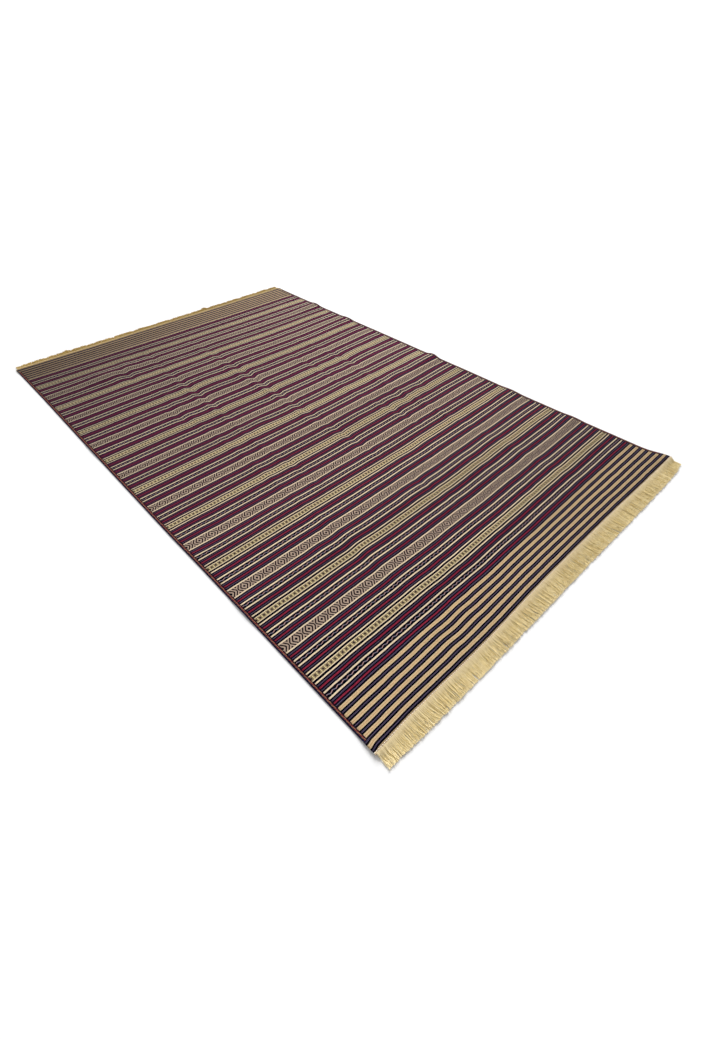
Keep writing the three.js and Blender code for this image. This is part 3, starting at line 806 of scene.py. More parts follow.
def field_pattern(b, places):
    """The half repeat's stripes, with the three motifs laid over them"""
    metres = places["metres"]
    colour = dotted(b, places, places["from_light"], HALF_REPEAT_CHART, CHARTED_HALF)

    squares = motif(b, places, "Starred squares", metres)
    square = b.math("MULTIPLY", squares["Square"], b.math("LESS_THAN", metres, SQUARES_HALF))
    star = b.math("MULTIPLY", squares["Star"], square)
    colour = b.blend(square, colour, b.blend(places["lot"], YARNS["taupe"], YARNS["straw"]))
    colour = b.blend(star, colour, b.blend(places["lot"], YARNS["brown"], YARNS["hazel"]))

    from_diamonds = b.math("SUBTRACT", metres, CHARTED_HALF / 1000)
    diamonds = motif(b, places, "Nested diamonds", from_diamonds)
    in_band = b.math("GREATER_THAN", metres, CHARTED_HALF / 1000 - DIAMONDS_HALF)
    colour = b.blend(b.math("MULTIPLY", diamonds["Light"], in_band), colour, YARNS["flax"])
    colour = b.blend(b.math("MULTIPLY", diamonds["Dot"], in_band), colour, YARNS["black"])

    off_twist = b.math("SUBTRACT", metres, TWIST_MIDDLE)
    in_band = b.within(off_twist, -TWIST_HALF, TWIST_HALF)
    whole_repeats = b.math("FRACT", b.math("MULTIPLY", places["repeats"], 0.5))
    after_light = b.math("LESS_THAN", whole_repeats, 0.5)
    same_way_up = b.math("MULTIPLY_ADD", after_light, 2.0, -1.0)
    twist = motif(b, places, "Twist", b.math("MULTIPLY", off_twist, same_way_up))
    colour = b.blend(b.math("MULTIPLY", twist["Rising"], in_band), colour, YARNS["salmon"])
    return b.blend(b.math("MULTIPLY", twist["Falling"], in_band), colour, YARNS["slate"])


print("Dots across the rug:", round(2 * HALF_WIDTH / DOT_PITCH))

# %% [markdown]
# The end zones repeat one pair of stripes, from each hem inwards. A navy border with a ragged inner
# edge runs under the side yarns, and stops short of the hems.

# %% End zones and side borders
BORDER_FROM_EDGE = 0.0148
BORDER_RAGGED = 0.003
BORDER_RAG_SCALE = 150.0
BORDER_END = 0.036


def with_ends_and_borders(b, places, colour):
    from_end = places["from_end"]
    pairs = b.math("DIVIDE", b.math("SUBTRACT", from_end, END_ZONE_START), PAIR_PITCH_MM / 1000)
    ends = dotted(b, places, b.math("FRACT", pairs), PAIR_CHART, PAIR_PITCH_MM)
    ends = b.blend(b.math("LESS_THAN", from_end, END_ZONE_START), ends, YARNS["tan"])
    colour = b.blend(b.math("LESS_THAN", from_end, END_ZONE_END), colour, ends)

    across = places["across"]
    from_side = b.math("MINIMUM", across, b.math("SUBTRACT", 2 * HALF_WIDTH, across))
    ragged = b.noise(places["map"], BORDER_RAG_SCALE, 1.0)
    ragged = b.stretch(ragged, *MIDDLE_OF_NOISE, -BORDER_RAGGED / 2, BORDER_RAGGED / 2)
    border = b.math("LESS_THAN", b.math("ADD", from_side, ragged), BORDER_FROM_EDGE)
    between_ends = b.math("GREATER_THAN", from_end, BORDER_END)
    return b.blend(b.math("MULTIPLY", border, between_ends), colour, YARNS["border"])


print("Border inside each edge, mm:", round(1000 * BORDER_FROM_EDGE, 1))

# %% [markdown]
# Last, the weave group gives relief and uneven dye, and its heights also give painted shade in the
# hollows of the weave. Over the whole cloth lies a painted light falloff: painted shade that deepens
# towards the far left corner, and on the right painted shade at the near end that turns into a painted
# glare from the middle on. The far end zone is darker by a fixed share.

# %% The woven wool material
ABRASH = {"across": 0.3, "along": 9.0, "detail": 3.0, "tones": (0.88, 1.1)}
SLUB = {"across": 170.0, "along": 480.0, "detail": 2.0, "tones": (0.86, 1.13)}
BEAD_TONES = (0.80, 1.18)
# Painted shade in the hollows of the weave: the lower the weave, the darker.
HOLLOW_SHADE_DEPTH = 0.6
HOLLOW_SHADE_TONES = (0.62, 1.04)
# Painted light falloff: painted shade towards the far left corner, and on the right painted shade at the
# near end turning into painted glare further along.
LEFT_PAINTED_LIGHT_RUN = (0.8, 3.0)
PAINTED_LIGHT_LEFT = (1.04, 0.50)
RIGHT_PAINTED_LIGHT_RUN = (0.2, 1.6)
PAINTED_LIGHT_RIGHT = (0.80, 1.12)
FAR_END_DARKENING = 0.14
FUZZ_SCALE = 1400.0
FUZZ_HEIGHT = 0.25
WEAVE_BUMP = 0.6
WEAVE_DEPTH = 0.0006


def cloudy(b, places, cloud):
    """A tone from noise that is drawn out by its own scales across the rug and along it"""
    ways = {0: b.math("MULTIPLY", places["across"], cloud["across"])}
    ways[1] = b.math("MULTIPLY", places["along"], cloud["along"])
    place = b.add("ShaderNodeCombineXYZ", ways).outputs[0]
    return b.stretch(b.noise(place, 1.0, cloud["detail"]), *MIDDLE_OF_NOISE, *cloud["tones"])


def dye_and_painted_light(b, places):
    """How deep the dye is, from the slow drift of a lot down to single beads, times painted shade in the
    weave's hollows and a painted light falloff across the cloth; the far end zone is darker by a fixed
    share
    """
    bead = b.stretch(places["weave"]["Bead"], 0.0, 1.0, *BEAD_TONES)
    # Painted shade: darker where the weave is low, between ribs and beads.
    hollow_shade = b.stretch(places["weave"]["Height"], 0.0, HOLLOW_SHADE_DEPTH, *HOLLOW_SHADE_TONES)
    # Painted light falloff across the cloth: painted shade to the far left, painted glare along the
    # right.
    left = b.stretch(places["along"], *LEFT_PAINTED_LIGHT_RUN, *PAINTED_LIGHT_LEFT)
    right = b.stretch(places["along"], *RIGHT_PAINTED_LIGHT_RUN, *PAINTED_LIGHT_RIGHT)
    side = b.math("DIVIDE", places["across"], 2 * HALF_WIDTH)
    painted_light = b.math("MULTIPLY_ADD", b.math("SUBTRACT", right, left), side, left)
    # The far end zone is darker by a fixed share.
    far_end = b.math("GREATER_THAN", places["along"], PATTERN_LENGTH - END_ZONE_END)
    painted_light = b.math("MULTIPLY_ADD", far_end, -FAR_END_DARKENING, painted_light)
    clouds = b.math("MULTIPLY", cloudy(b, places, ABRASH), cloudy(b, places, SLUB))
    tone = b.math("MULTIPLY", clouds, painted_light)
    return b.math("MULTIPLY", b.math("MULTIPLY", tone, bead), hollow_shade)


def woven_wool():
    material, b, shader = new_material("Woven wool")
    places = pattern_sockets(b)
    colour = with_ends_and_borders(b, places, field_pattern(b, places))
    shade = dye_and_painted_light(b, places)
    grey = b.add("ShaderNodeCombineColor", {0: shade, 1: shade, 2: shade}).outputs[0]
    b.join(b.blend(1.0, colour, grey, "MULTIPLY"), shader.inputs["Base Color"])

    fuzz = b.noise(places["map"], FUZZ_SCALE, 2.0)
    relief = b.math("MULTIPLY_ADD", fuzz, FUZZ_HEIGHT, places["weave"]["Height"])
    raised = {"Height": relief, "Strength": WEAVE_BUMP, "Distance": WEAVE_DEPTH}
    b.join(b.add("ShaderNodeBump", raised).outputs[0], shader.inputs["Normal"])
    b.join(b.stretch(fuzz, *MIDDLE_OF_NOISE, 0.82, 0.98), shader.inputs["Roughness"])
    shader.inputs["Specular IOR Level"].default_value = 0.01
    shader.inputs["Sheen Weight"].default_value = 0.04
    shader.inputs["Sheen Roughness"].default_value = 0.5
    shader.inputs["Sheen Tint"].default_value = (0.86, 0.72, 1.0, 1.0)
    return material


cloth.data.materials.append(woven_wool())
print("Material:", cloth.data.materials[0].name)

# %% [markdown]
# The loose yarns share one kind of finish: fibres along the yarn, small differences of dye from strand to
# strand, and along the fringe yarns a root tone and a painted highlight at the cut tip. The fibres are a
# group, since the side yarn, the stitches, the tape and the fringe all need them.

# %% The yarn materials
FIBRE_SCALE = 900.0
FRINGE_FIBRE_SCALE = 700.0
STRAND_SHARE = 0.65
FIBRE_BUMP = 0.5
FIBRE_DEPTH = 0.0004

bench, given, out = shader_group(
    "Yarn fibres",
    [("Vector", VECTOR, None), ("Scale", FLOAT, FIBRE_SCALE)],
    [("Height", FLOAT), ("Shade", FLOAT)],
)
fine = bench.noise(given["Vector"], given["Scale"], 3.0, 0.65)
coarse = bench.noise(given["Vector"], bench.math("MULTIPLY", given["Scale"], 0.12), 2.0)
both = bench.math("ADD", bench.math("MULTIPLY", fine, 0.5), bench.math("MULTIPLY", coarse, 0.5))
bench.join(fine, out["Height"])
bench.join(both, out["Shade"])


def yarn_material(name, dark, light, scale=FIBRE_SCALE, strand=None, root=None):
    """A dyed yarn between two tones, strand by strand where strand names a value kept on each.
    One with a root colour starts in that, and a painted highlight pales it towards its cut tip."""
    material, b, shader = new_material(name)
    places = b.add("ShaderNodeTexCoord").outputs["Object"]
    fibres = b.add("ShaderNodeGroup", node_tree=bpy.data.node_groups["Yarn fibres"])
    b.join(places, fibres.inputs["Vector"])
    b.join(scale, fibres.inputs["Scale"])
    share = b.stretch(fibres.outputs["Shade"], *MIDDLE_OF_NOISE)
    if strand:
        own = b.add("ShaderNodeAttribute", attribute_name=strand).outputs["Fac"]
        share = b.math("MULTIPLY", share, 1 - STRAND_SHARE)
        share = b.math("MULTIPLY_ADD", own, STRAND_SHARE, share)
    colour = b.blend(share, dark, light)
    if root:
        run = b.add("ShaderNodeAttribute", attribute_name="along").outputs["Fac"]
        colour = b.blend(b.stretch(run, 0.05, 0.4, 0.5, 0.0), colour, root)
        # Painted highlight: towards the cut tip the yarn is paled towards its light tone.
        colour = b.blend(b.stretch(run, 0.82, 1.0, 0.0, 0.45), colour, light)
    b.join(colour, shader.inputs["Base Color"])
    height = fibres.outputs["Height"]
    raised = {"Height": height, "Strength": FIBRE_BUMP, "Distance": FIBRE_DEPTH}
    b.join(b.add("ShaderNodeBump", raised).outputs[0], shader.inputs["Normal"])
    b.join(b.stretch(height, *MIDDLE_OF_NOISE, 0.7, 0.92), shader.inputs["Roughness"])
    shader.inputs["Specular IOR Level"].default_value = 0.08
    return material


navy_yarn = yarn_material("Navy overcast yarn", dyed(16, 14, 36), dyed(50, 47, 88))
rust_yarn = yarn_material("Rust edging yarn", dyed(142, 96, 74), dyed(196, 148, 116))
red_yarn = yarn_material("Red edging yarn", dyed(120, 40, 46), dyed(178, 74, 74))
cream_thread = yarn_material("Cream stitch thread", dyed(258, 246, 226), dyed(270, 262, 248))
dark_thread = yarn_material("Dark mending thread", dyed(30, 22, 26), dyed(62, 48, 50))
tape_cottons = {
    "near": yarn_material("Tape cotton near", dyed(206, 178, 144), dyed(236, 208, 174)),
    "far": yarn_material("Tape cotton far", dyed(164, 134, 84), dyed(200, 170, 114)),
}
stitch_threads = {"near": cream_thread, "far": tape_cottons["far"]}
fringe_root = dyed(250, 230, 194)
gold_tones = {
    "near": (dyed(216, 190, 118), dyed(274, 256, 208)),
    "far": (dyed(164, 130, 64), dyed(220, 190, 118)),
}
gold_yarns = {
    name: yarn_material(
        "Gold fringe yarn " + name, dark, light, FRINGE_FIBRE_SCALE, "strand", fringe_root
    )
    for name, (dark, light) in gold_tones.items()
}
print("Fringe and tape materials:", len(gold_yarns) + len(tape_cottons))

# %% [markdown]
# Side yarn, stitches and fringe all follow a path, so Geometry Nodes make them. A path is a thin
# chain of points on the cloth's edge. Each tree takes it in, has its sizes as named inputs, and
# ends in Realize Instances and Set Material. The result is turned into a plain mesh straight away.

# %% Helpers for Geometry Nodes


def path_mesh(name, runs):
    """One chain of edges for each run of points"""
    points = np.concatenate(runs)
    ends = np.cumsum([len(run) for run in runs])
    first = np.ones(len(points), dtype=bool)
    first[ends - 1] = False
    starts = np.nonzero(first)[0]
    mesh = bpy.data.meshes.new(name)
    mesh.from_pydata(points.tolist(), np.stack([starts, starts + 1], 1).tolist(), [])
    return mesh


def geometry_tree(name, inputs):
    tree = bpy.data.node_groups.new(name, "GeometryNodeTree")
    tree.interface.new_socket("Geometry", in_out="INPUT", socket_type="NodeSocketGeometry")
    for label, kind, value in inputs:
        socket = tree.interface.new_socket(label, in_out="INPUT", socket_type=kind)
        if value is not None:
            socket.default_value = value
    tree.interface.new_socket("Material", in_out="INPUT", socket_type="NodeSocketMaterial")
    tree.interface.new_socket("Geometry", in_out="OUTPUT", socket_type="NodeSocketGeometry")
    given = tree.nodes.new("NodeGroupInput").outputs
    return Bench(tree), given, tree.nodes.new("NodeGroupOutput").inputs


def sweep(bench, given, curve):
    """A round yarn along each path of a curve, with closed ends"""
    section = {"Resolution": given["Sides"], "Radius": given["Yarn radius"]}
    round_yarn = bench.add("GeometryNodeCurvePrimitiveCircle", section).outputs[0]
    parts = {"Curve": curve, "Profile Curve": round_yarn, "Fill Caps": True}
    return bench.add("GeometryNodeCurveToMesh", parts).outputs[0]


def close_tree(bench, given, out, geometry):
    """Realize Instances, smooth faces and Set Material, then the way out"""
    real = bench.add("GeometryNodeRealizeInstances", {0: geometry}).outputs[0]
    smooth = bench.add("GeometryNodeSetShadeSmooth", {"Geometry": real}).outputs[0]
    dressed = bench.add("GeometryNodeSetMaterial", {"Geometry": smooth, "Material": given["Material"]})
    bench.join(dressed.outputs[0], out[0])


def grow(name, path, tree, values):
    """Runs a tree on a path and returns the result as a plain piece"""
    source = link(name + "_path", path)
    modifier = source.modifiers.new("Grow", "NODES")
    modifier.node_group = tree
    for socket in tree.interface.items_tree:
        if socket.in_out == "INPUT" and socket.name in values:
            modifier[socket.identifier] = values[socket.name]
    depsgraph = bpy.context.evaluated_depsgraph_get()
    mesh = bpy.data.meshes.new_from_object(source.evaluated_get(depsgraph))
    bpy.data.objects.remove(source)
    mesh.name = name
    bake_map(mesh)
    piece = link(name, mesh)
    print(name, "faces:", len(mesh.polygons))
    return piece


print("Helpers:", [f.__name__ for f in (path_mesh, geometry_tree, sweep, close_tree, grow)])

# %% [markdown]
# Overcast yarn goes round and round the edge of the cloth. Torus rings side by side would pass from
# afar, but a real overcast edge is one winding thread, so the tree bends the path into a flattened
# helix and sweeps a round yarn along it.

# %% Overcast side yarns
YARN_RADIUS = 0.0012
PATH_STEP = 0.012

bench, given, out = geometry_tree(
    "Overcast winding",
    [
        ("Turns per metre", FLOAT, 420.0),
        ("Steps per turn", FLOAT, 9.0),
        ("Half width", FLOAT, 0.002),
        ("Half height", FLOAT, 0.001),
        ("Yarn radius", FLOAT, YARN_RADIUS),
        ("Sides", WHOLE, 4),
    ],
)
curve = bench.add("GeometryNodeMeshToCurve", {0: given["Geometry"]}).outputs[0]
steps = bench.math("MULTIPLY", given["Turns per metre"], given["Steps per turn"])
fine_path = bench.add("GeometryNodeResampleCurve", mode="LENGTH")
bench.join(curve, fine_path.inputs["Curve"])
bench.join(bench.math("DIVIDE", 1.0, steps), fine_path.inputs["Length"])
run = bench.add("GeometryNodeSplineParameter").outputs["Length"]
turns = bench.math("MULTIPLY", run, given["Turns per metre"])
angle = bench.math("MULTIPLY", turns, 2 * math.pi)
side = bench.math("MULTIPLY", bench.math("COSINE", angle), given["Half width"])
rise = bench.math("MULTIPLY", bench.math("SINE", angle), given["Half height"])
offset = bench.add("ShaderNodeCombineXYZ", {0: side, 2: rise}).outputs[0]
moved = {"Geometry": fine_path.outputs[0], "Offset": offset}
wound = bench.add("GeometryNodeSetPosition", moved).outputs[0]
close_tree(bench, given, out, sweep(bench, given, wound))
overcast = bench.tree


def edge_path(side, inward, rise):
    """Points along one side of the rug, at a distance in from its outer edge and above its floor"""
    y = np.arange(-CORD_END + SEWING_GAP, CORD_END, PATH_STEP)
    y = np.append(y, CORD_END - SEWING_GAP)
    edge = np.full_like(y, side * CLOTH_EDGE)
    px, py = plan(edge, y)
    return np.stack([px + side * (CORD_WIDTH + SEWING_GAP - inward), py, lift(edge, y) + rise], 1)


cord_pieces = {}
for name, side in (("left", -1), ("right", 1)):
    path = path_mesh("side_" + name, [edge_path(side, CORD_WIDTH / 2, CORD_HEIGHT / 2)])
    sizes = {"Half width": CORD_WIDTH / 2 - YARN_RADIUS, "Half height": CORD_HEIGHT / 2 - YARN_RADIUS}
    sizes.update({"Yarn radius": YARN_RADIUS, "Material": navy_yarn})
    cord_pieces[name] = grow("overcast_" + name, path, overcast, sizes)

# %% [markdown]
# Beside each overcast edge lies an edging of two yarns, one rust and one red, twisted round each
# other. The same winding tree makes it: few long turns in place of many short ones, and the second
# yarn takes both halves of the ellipse with the other sign, which puts it opposite the first.

# %% Edging beside the side yarns
EDGING_INWARD = 0.0082
EDGING_TURNS = 45.0
EDGING_STEPS = 12.0
EDGING_SIDES = 6
EDGING_RADIUS = 0.0011
EDGING_HALF_WIDTH = 0.0015
EDGING_HALF_HEIGHT = 0.0008
EDGING_SEAT = 0.0002
EDGING_RISE = CLOTH_THICKNESS + EDGING_HALF_HEIGHT + EDGING_RADIUS - EDGING_SEAT
edging_pieces = []
for name, side in (("left", -1), ("right", 1)):
    for colour, yarn, opposite in (("rust", rust_yarn, 1), ("red", red_yarn, -1)):
        path = path_mesh("edging_path", [edge_path(side, EDGING_INWARD, EDGING_RISE)])
        sizes = {"Turns per metre": EDGING_TURNS, "Steps per turn": EDGING_STEPS}
        sizes.update({"Half width": opposite * EDGING_HALF_WIDTH})
        sizes.update({"Half height": opposite * EDGING_HALF_HEIGHT})
        sizes.update({"Yarn radius": EDGING_RADIUS, "Sides": EDGING_SIDES, "Material": yarn})
        edging_pieces.append(grow("edging_" + colour + "_" + name, path, overcast, sizes))

# %% [markdown]
# Each hem carries a narrow cotton tape with the fringe. The tape is a rounded strip swept along the
# hem. A line of cream stitches holds it, each a small bead that leans to one side and then to the
# other, laid out by the tree with a fixed seed for its unevenness. At the near left corner a short
# stretch was mended in dark thread, with the same tree and smaller sizes.

# %% Fringe tapes and their stitches
HEM_STEP = 0.008
LEAN_SHARES = (0.6, 1.4)
TAPE_SECTION = [
    {"out": 0.00, "up": 0.10},
    {"out": 0.00, "up": 0.85},
    {"out": 0.08, "up": 1.00},
    {"out": 0.92, "up": 1.00},
    {"out": 1.00, "up": 0.80},
    {"out": 1.00, "up": 0.10},
    {"out": 0.92, "up": 0.00},
    {"out": 0.08, "up": 0.00},
]


def hem_line(end, x):
    """The cloth's edge at one end: its place and the height of its underside"""
    px, py = plan(x, np.full_like(x, end * HALF_CLOTH))
    return px, py, lift(x, np.full_like(x, end * HALF_CLOTH))


def tape_piece(name, end):
    x = np.linspace(-HALF_WIDTH, HALF_WIDTH, int(2 * HALF_WIDTH / HEM_STEP) + 1)
    px, py, pz = hem_line(end, x)
    ring = len(TAPE_SECTION)
    corners = [
        np.stack([px, py + end * (SEWING_GAP + s["out"] * TAPE_WIDTH), pz + s["up"] * CLOTH_THICKNESS], 1)
        for s in TAPE_SECTION
    ]
    points = np.stack(corners, 1).reshape(-1, 3)
    faces = []
    for i in range(len(x) - 1):
        for k in range(ring):
            a, b = i * ring + k, i * ring + (k + 1) % ring
            faces.append([a, a + ring, b + ring, b])
    faces += [list(range(ring)), list(range(len(points) - 1, len(points) - ring - 1, -1))]
    if end < 0:
        faces = [face[::-1] for face in faces]
    mesh = bpy.data.meshes.new(name)
    mesh.from_pydata(points.tolist(), [], faces)
    bake_map(mesh)
    mesh.materials.append(tape_cottons["near" if end < 0 else "far"])
    return link(name, mesh)


bench, given, out = geometry_tree(
    "Hem stitches",
    [
        ("Spacing", FLOAT, 0.0082),
        ("Stitch length", FLOAT, 0.0072),
        ("Thread radius", FLOAT, 0.0016),
        ("Lean", FLOAT, 0.16),
        ("Seed", WHOLE, 7),
    ],
)
curve = bench.add("GeometryNodeMeshToCurve", {0: given["Geometry"]}).outputs[0]
places = bench.add("GeometryNodeResampleCurve", mode="LENGTH")
bench.join(curve, places.inputs["Curve"])
bench.join(given["Spacing"], places.inputs["Length"])
bead = bench.add("GeometryNodeMeshUVSphere", {"Segments": 6, "Rings": 5, "Radius": 1.0}).outputs[0]
half = bench.math("MULTIPLY", given["Stitch length"], 0.5)
thread = given["Thread radius"]
size = bench.add("ShaderNodeCombineXYZ", {0: half, 1: thread, 2: thread}).outputs[0]
stitch = bench.add("GeometryNodeTransform", {"Geometry": bead, "Scale": size}).outputs[0]
number = bench.add("GeometryNodeInputIndex").outputs[0]
odd = bench.math("FLOORED_MODULO", number, 2.0)
left_right = bench.math("MULTIPLY_ADD", odd, 2.0, -1.0)
uneven = bench.add("FunctionNodeRandomValue", data_type="FLOAT")
bench.join(LEAN_SHARES[0], uneven.inputs[2])
bench.join(LEAN_SHARES[1], uneven.inputs[3])
bench.join(given["Seed"], uneven.inputs["Seed"])
lean = bench.math("MULTIPLY", bench.math("MULTIPLY", left_right, given["Lean"]), uneven.outputs[1])
turn = bench.add("ShaderNodeCombineXYZ", {2: lean}).outputs[0]
laid = bench.add("GeometryNodeInstanceOnPoints")
for label, value in (("Points", places.outputs[0]), ("Instance", stitch), ("Rotation", turn)):
    bench.join(value, laid.inputs[label])
close_tree(bench, given, out, laid.outputs[0])
hem_stitches = bench.tree

STITCH_LINE = 0.0018
STITCH_RISE = CLOTH_THICKNESS + 0.0002
MENDED_FROM = 0.012
MENDED_TO = 0.080
MENDED_LINE = 0.0044
MENDED_RISE = 0.0016
MENDED_POINTS = 12
MENDING = {"Spacing": 0.0046, "Stitch length": 0.0030, "Thread radius": 0.0012, "Material": dark_thread}


def stitch_run(end, x, line, rise):
    px, py, pz = hem_line(end, x)
    return np.stack([px, py + end * line, pz + rise], 1)


tapes, stitch_pieces = {}, {}
for name, end in (("near", -1), ("far", 1)):
    tapes[name] = tape_piece("fringe_tape_" + name, end)
    x = np.arange(-HALF_WIDTH + STITCH_LINE, HALF_WIDTH, HEM_STEP)
    path = path_mesh("stitch_path_" + name, [stitch_run(end, x, STITCH_LINE, STITCH_RISE)])
    thread = {"Material": stitch_threads[name]}
    stitch_pieces[name] = grow("hem_stitches_" + name, path, hem_stitches, thread)
x = np.linspace(MENDED_FROM, MENDED_TO, MENDED_POINTS) - HALF_WIDTH
path = path_mesh("mending_path", [stitch_run(-1, x, MENDED_LINE, STITCH_RISE + MENDED_RISE)])
stitch_pieces["mended"] = grow("mending_stitches", path, hem_stitches, MENDING)

# %% [markdown]
# The fringe is about two thousand loose yarns an end. They hang in the same locks as on the solid:
# a lock leans, spreads a little towards its tip and is trimmed by its own amount. Its yarns cling
# together in bunches of five, and each yarn wanders on its own. Hair particles could do this, but
# they don't export. So each yarn is a path of a few points, and one tree sweeps them all. The
# strand's own tone and the run along it are kept as attributes for the material.

# %% Fringe yarns
FRINGE_SHORT = [
    {"x": -1.000, "near": 0.013, "far": 0.018},
    {"x": -0.800, "near": 0.007, "far": 0.014},
    {"x": -0.600, "near": 0.004, "far": 0.014},
    {"x": 0.000, "near": 0.003, "far": 0.016},
    {"x": 0.620, "near": 0.000, "far": 0.015},
    {"x": 0.820, "near": 0.000, "far": 0.013},
    {"x": 0.910, "near": 0.004, "far": 0.012},
    {"x": 1.000, "near": 0.014, "far": 0.012},
]
STRAY_TUFTS = [
    {"end": 1, "x": -0.670, "length": 0.022, "half_width": 0.026},
    {"end": 1, "x": -0.170, "length": 0.007, "half_width": 0.022},
    {"end": 1, "x": 0.340, "length": 0.024, "half_width": 0.026},
]
YARNS_A_LOCK = 15
YARNS_A_BUNCH = 5
BUNCH_GATHER = 0.3
BUNCH_SHIFT = 0.0012
UNDERCUT = 0.005
FRINGE_YARN_RADIUS = 0.0012
YARN_STATIONS = np.array([0.0, 0.14, 0.28, 0.43, 0.58, 0.72, 0.86, 1.0])
ROOT_OUT = 0.0042
ROOT_MARGIN = 0.0026
TIP_SPREAD = (1.05, 1.12)
SEAT_SHARES = (0.2, 0.8)
SPREAD_POWER = 1.5
STRAY = 0.0052
SWAY_RATE = 3.5
KINK = 0.0019
KINK_RATE = 11
PHASES = 6.3
ON_TAPE_LAYERS = 0.3
TIP_UNEVEN = 0.0022
TRIM = {-1: TIP_TRIM / 2, 1: 0.009}
FRINGE_PROUD = 0.002
LAYERS = 0.0048
FRINGE_GAPS = [
    {"end": -1, "x": -0.595, "spread": 0.0030, "reach": 0.022},
    {"end": -1, "x": -0.430, "spread": 0.0030, "reach": 0.022},
    {"end": -1, "x": -0.343, "spread": 0.0034, "reach": 0.018},
    {"end": -1, "x": 0.347, "spread": 0.0050, "reach": 0.024},
    {"end": -1, "x": 0.720, "spread": 0.0030, "reach": 0.024},
]


def wander(number, rate):
    """A small uneven wander, from -1 to 1, that is the same for the same number each time"""
    return np.sin(number * rate) * 0.6 + np.sin(number * rate * 2.7 + 1.3) * 0.4


def lock_reach(number, x, end):
    """How far from the straight hem line a lock's tip lies"""
    trim = TRIM[end] * max(0.0, wander(number + 11 * end, 0.61))
    short = eased(FRINGE_SHORT, "x", "near" if end < 0 else "far", x) + trim
    for tuft in STRAY_TUFTS:
        if tuft["end"] == end:
            short = short - tuft["length"] * hump((x - tuft["x"]) / tuft["half_width"])
    return FRINGE_REACH + FRINGE_PROUD - max(0.0, short)


def fringe_runs(end, rng):
    pitch = 2 * (HALF_WIDTH - LOCK_MARGIN) / LOCKS_AN_END
    bunches = YARNS_A_LOCK // YARNS_A_BUNCH
    bunch = np.arange(YARNS_A_LOCK) // YARNS_A_BUNCH
    runs = []
    for number in range(LOCKS_AN_END):
        middle = -HALF_WIDTH + LOCK_MARGIN + pitch * (number + 0.5)
        lean = LOCK_LEAN * wander(number + 40 * end, 0.17)
        spread = rng.uniform(*TIP_SPREAD)
        seat = np.arange(YARNS_A_LOCK) + rng.uniform(*SEAT_SHARES, YARNS_A_LOCK)
        off = (seat / YARNS_A_LOCK - 0.5) * pitch
        root_x = np.clip(middle + off, -HALF_WIDTH + ROOT_MARGIN, HALF_WIDTH - ROOT_MARGIN)
        layer = LAYERS * (rng.uniform(0, 0.5, bunches)[bunch] + rng.uniform(0, 0.5, YARNS_A_LOCK))
        upper = layer / LAYERS
        centre = ((bunch + 0.5) / bunches - 0.5) * pitch
        shift = rng.normal(0, BUNCH_SHIFT, bunches)[bunch]
        gathered = off + upper * ((centre - off) * BUNCH_GATHER + shift)
        tip_x = middle + lean + gathered * spread + rng.normal(0, STRAY / 3, YARNS_A_LOCK)
        cut = rng.uniform(0, TIP_UNEVEN, YARNS_A_LOCK) + UNDERCUT * (1 - upper)
        tip_y = HALF_CLOTH + lock_reach(number, middle, end) - cut
        phase = rng.uniform(0, PHASES, YARNS_A_LOCK)
        sway = rng.normal(0, STRAY / 2, YARNS_A_LOCK)
        kink = rng.normal(0, KINK, YARNS_A_LOCK)
        for gap in FRINGE_GAPS:
            if gap["end"] == end:
                off_gap = tip_x - gap["x"]
                tip_x = tip_x + np.sign(off_gap) * gap["spread"] * hump(off_gap / gap["reach"])
        _, hem_y, hem_z = hem_line(end, root_x)
        for k in range(YARNS_A_LOCK):
            s = YARN_STATIONS
            root_y = abs(hem_y[k]) + ROOT_OUT
            y = root_y + (tip_y[k] - root_y) * s
            x = root_x[k] + (tip_x[k] - root_x[k]) * s**SPREAD_POWER
            x = x + sway[k] * np.sin(SWAY_RATE * s + phase[k]) * s
            x = x + kink[k] * np.sin(KINK_RATE * s + 2 * phase[k]) * s
            past_tape = y - abs(hem_y[k]) - SEWING_GAP - TAPE_WIDTH
            on_tape = hem_z[k] + CLOTH_THICKNESS + FRINGE_YARN_RADIUS + layer[k] * ON_TAPE_LAYERS
            on_floor = FRINGE_YARN_RADIUS + layer[k]
            fall = 1 - hump(np.clip(past_tape / LOCK_TO_FLOOR, 0, 1))
            runs.append(np.stack([x, end * y, on_tape + (on_floor - on_tape) * fall], 1))
    return runs


bench, given, out = geometry_tree(
    "Fringe yarns",
    [
        ("Yarn radius", FLOAT, FRINGE_YARN_RADIUS),
        ("Sides", WHOLE, 4),
        ("Yarns a bunch", FLOAT, float(YARNS_A_BUNCH)),
        ("Bunch share", FLOAT, 0.2),
        ("Seed", WHOLE, 3),
    ],
)
curve = bench.add("GeometryNodeMeshToCurve", {0: given["Geometry"]}).outputs[0]
along = bench.add("GeometryNodeSplineParameter").outputs["Factor"]
marked = bench.add("GeometryNodeStoreNamedAttribute", data_type="FLOAT", domain="POINT")
for label, value in (("Geometry", curve), ("Name", "along"), ("Value", along)):
    bench.join(value, marked.inputs[label])
whose = bench.add("GeometryNodeCurveOfPoint").outputs["Curve Index"]
bunch_of = bench.math("FLOOR", bench.math("DIVIDE", whose, given["Yarns a bunch"]))
tones = []
for source in (whose, bunch_of):
    tone = bench.add("FunctionNodeRandomValue", data_type="FLOAT")
    bench.join(source, tone.inputs["ID"])
    bench.join(given["Seed"], tone.inputs["Seed"])
    tones.append(tone.outputs[1])
shares = {0: given["Bunch share"], 2: tones[0], 3: tones[1]}
mixed = bench.add("ShaderNodeMix", shares, data_type="FLOAT").outputs[0]
toned = bench.add("GeometryNodeStoreNamedAttribute", data_type="FLOAT", domain="POINT")
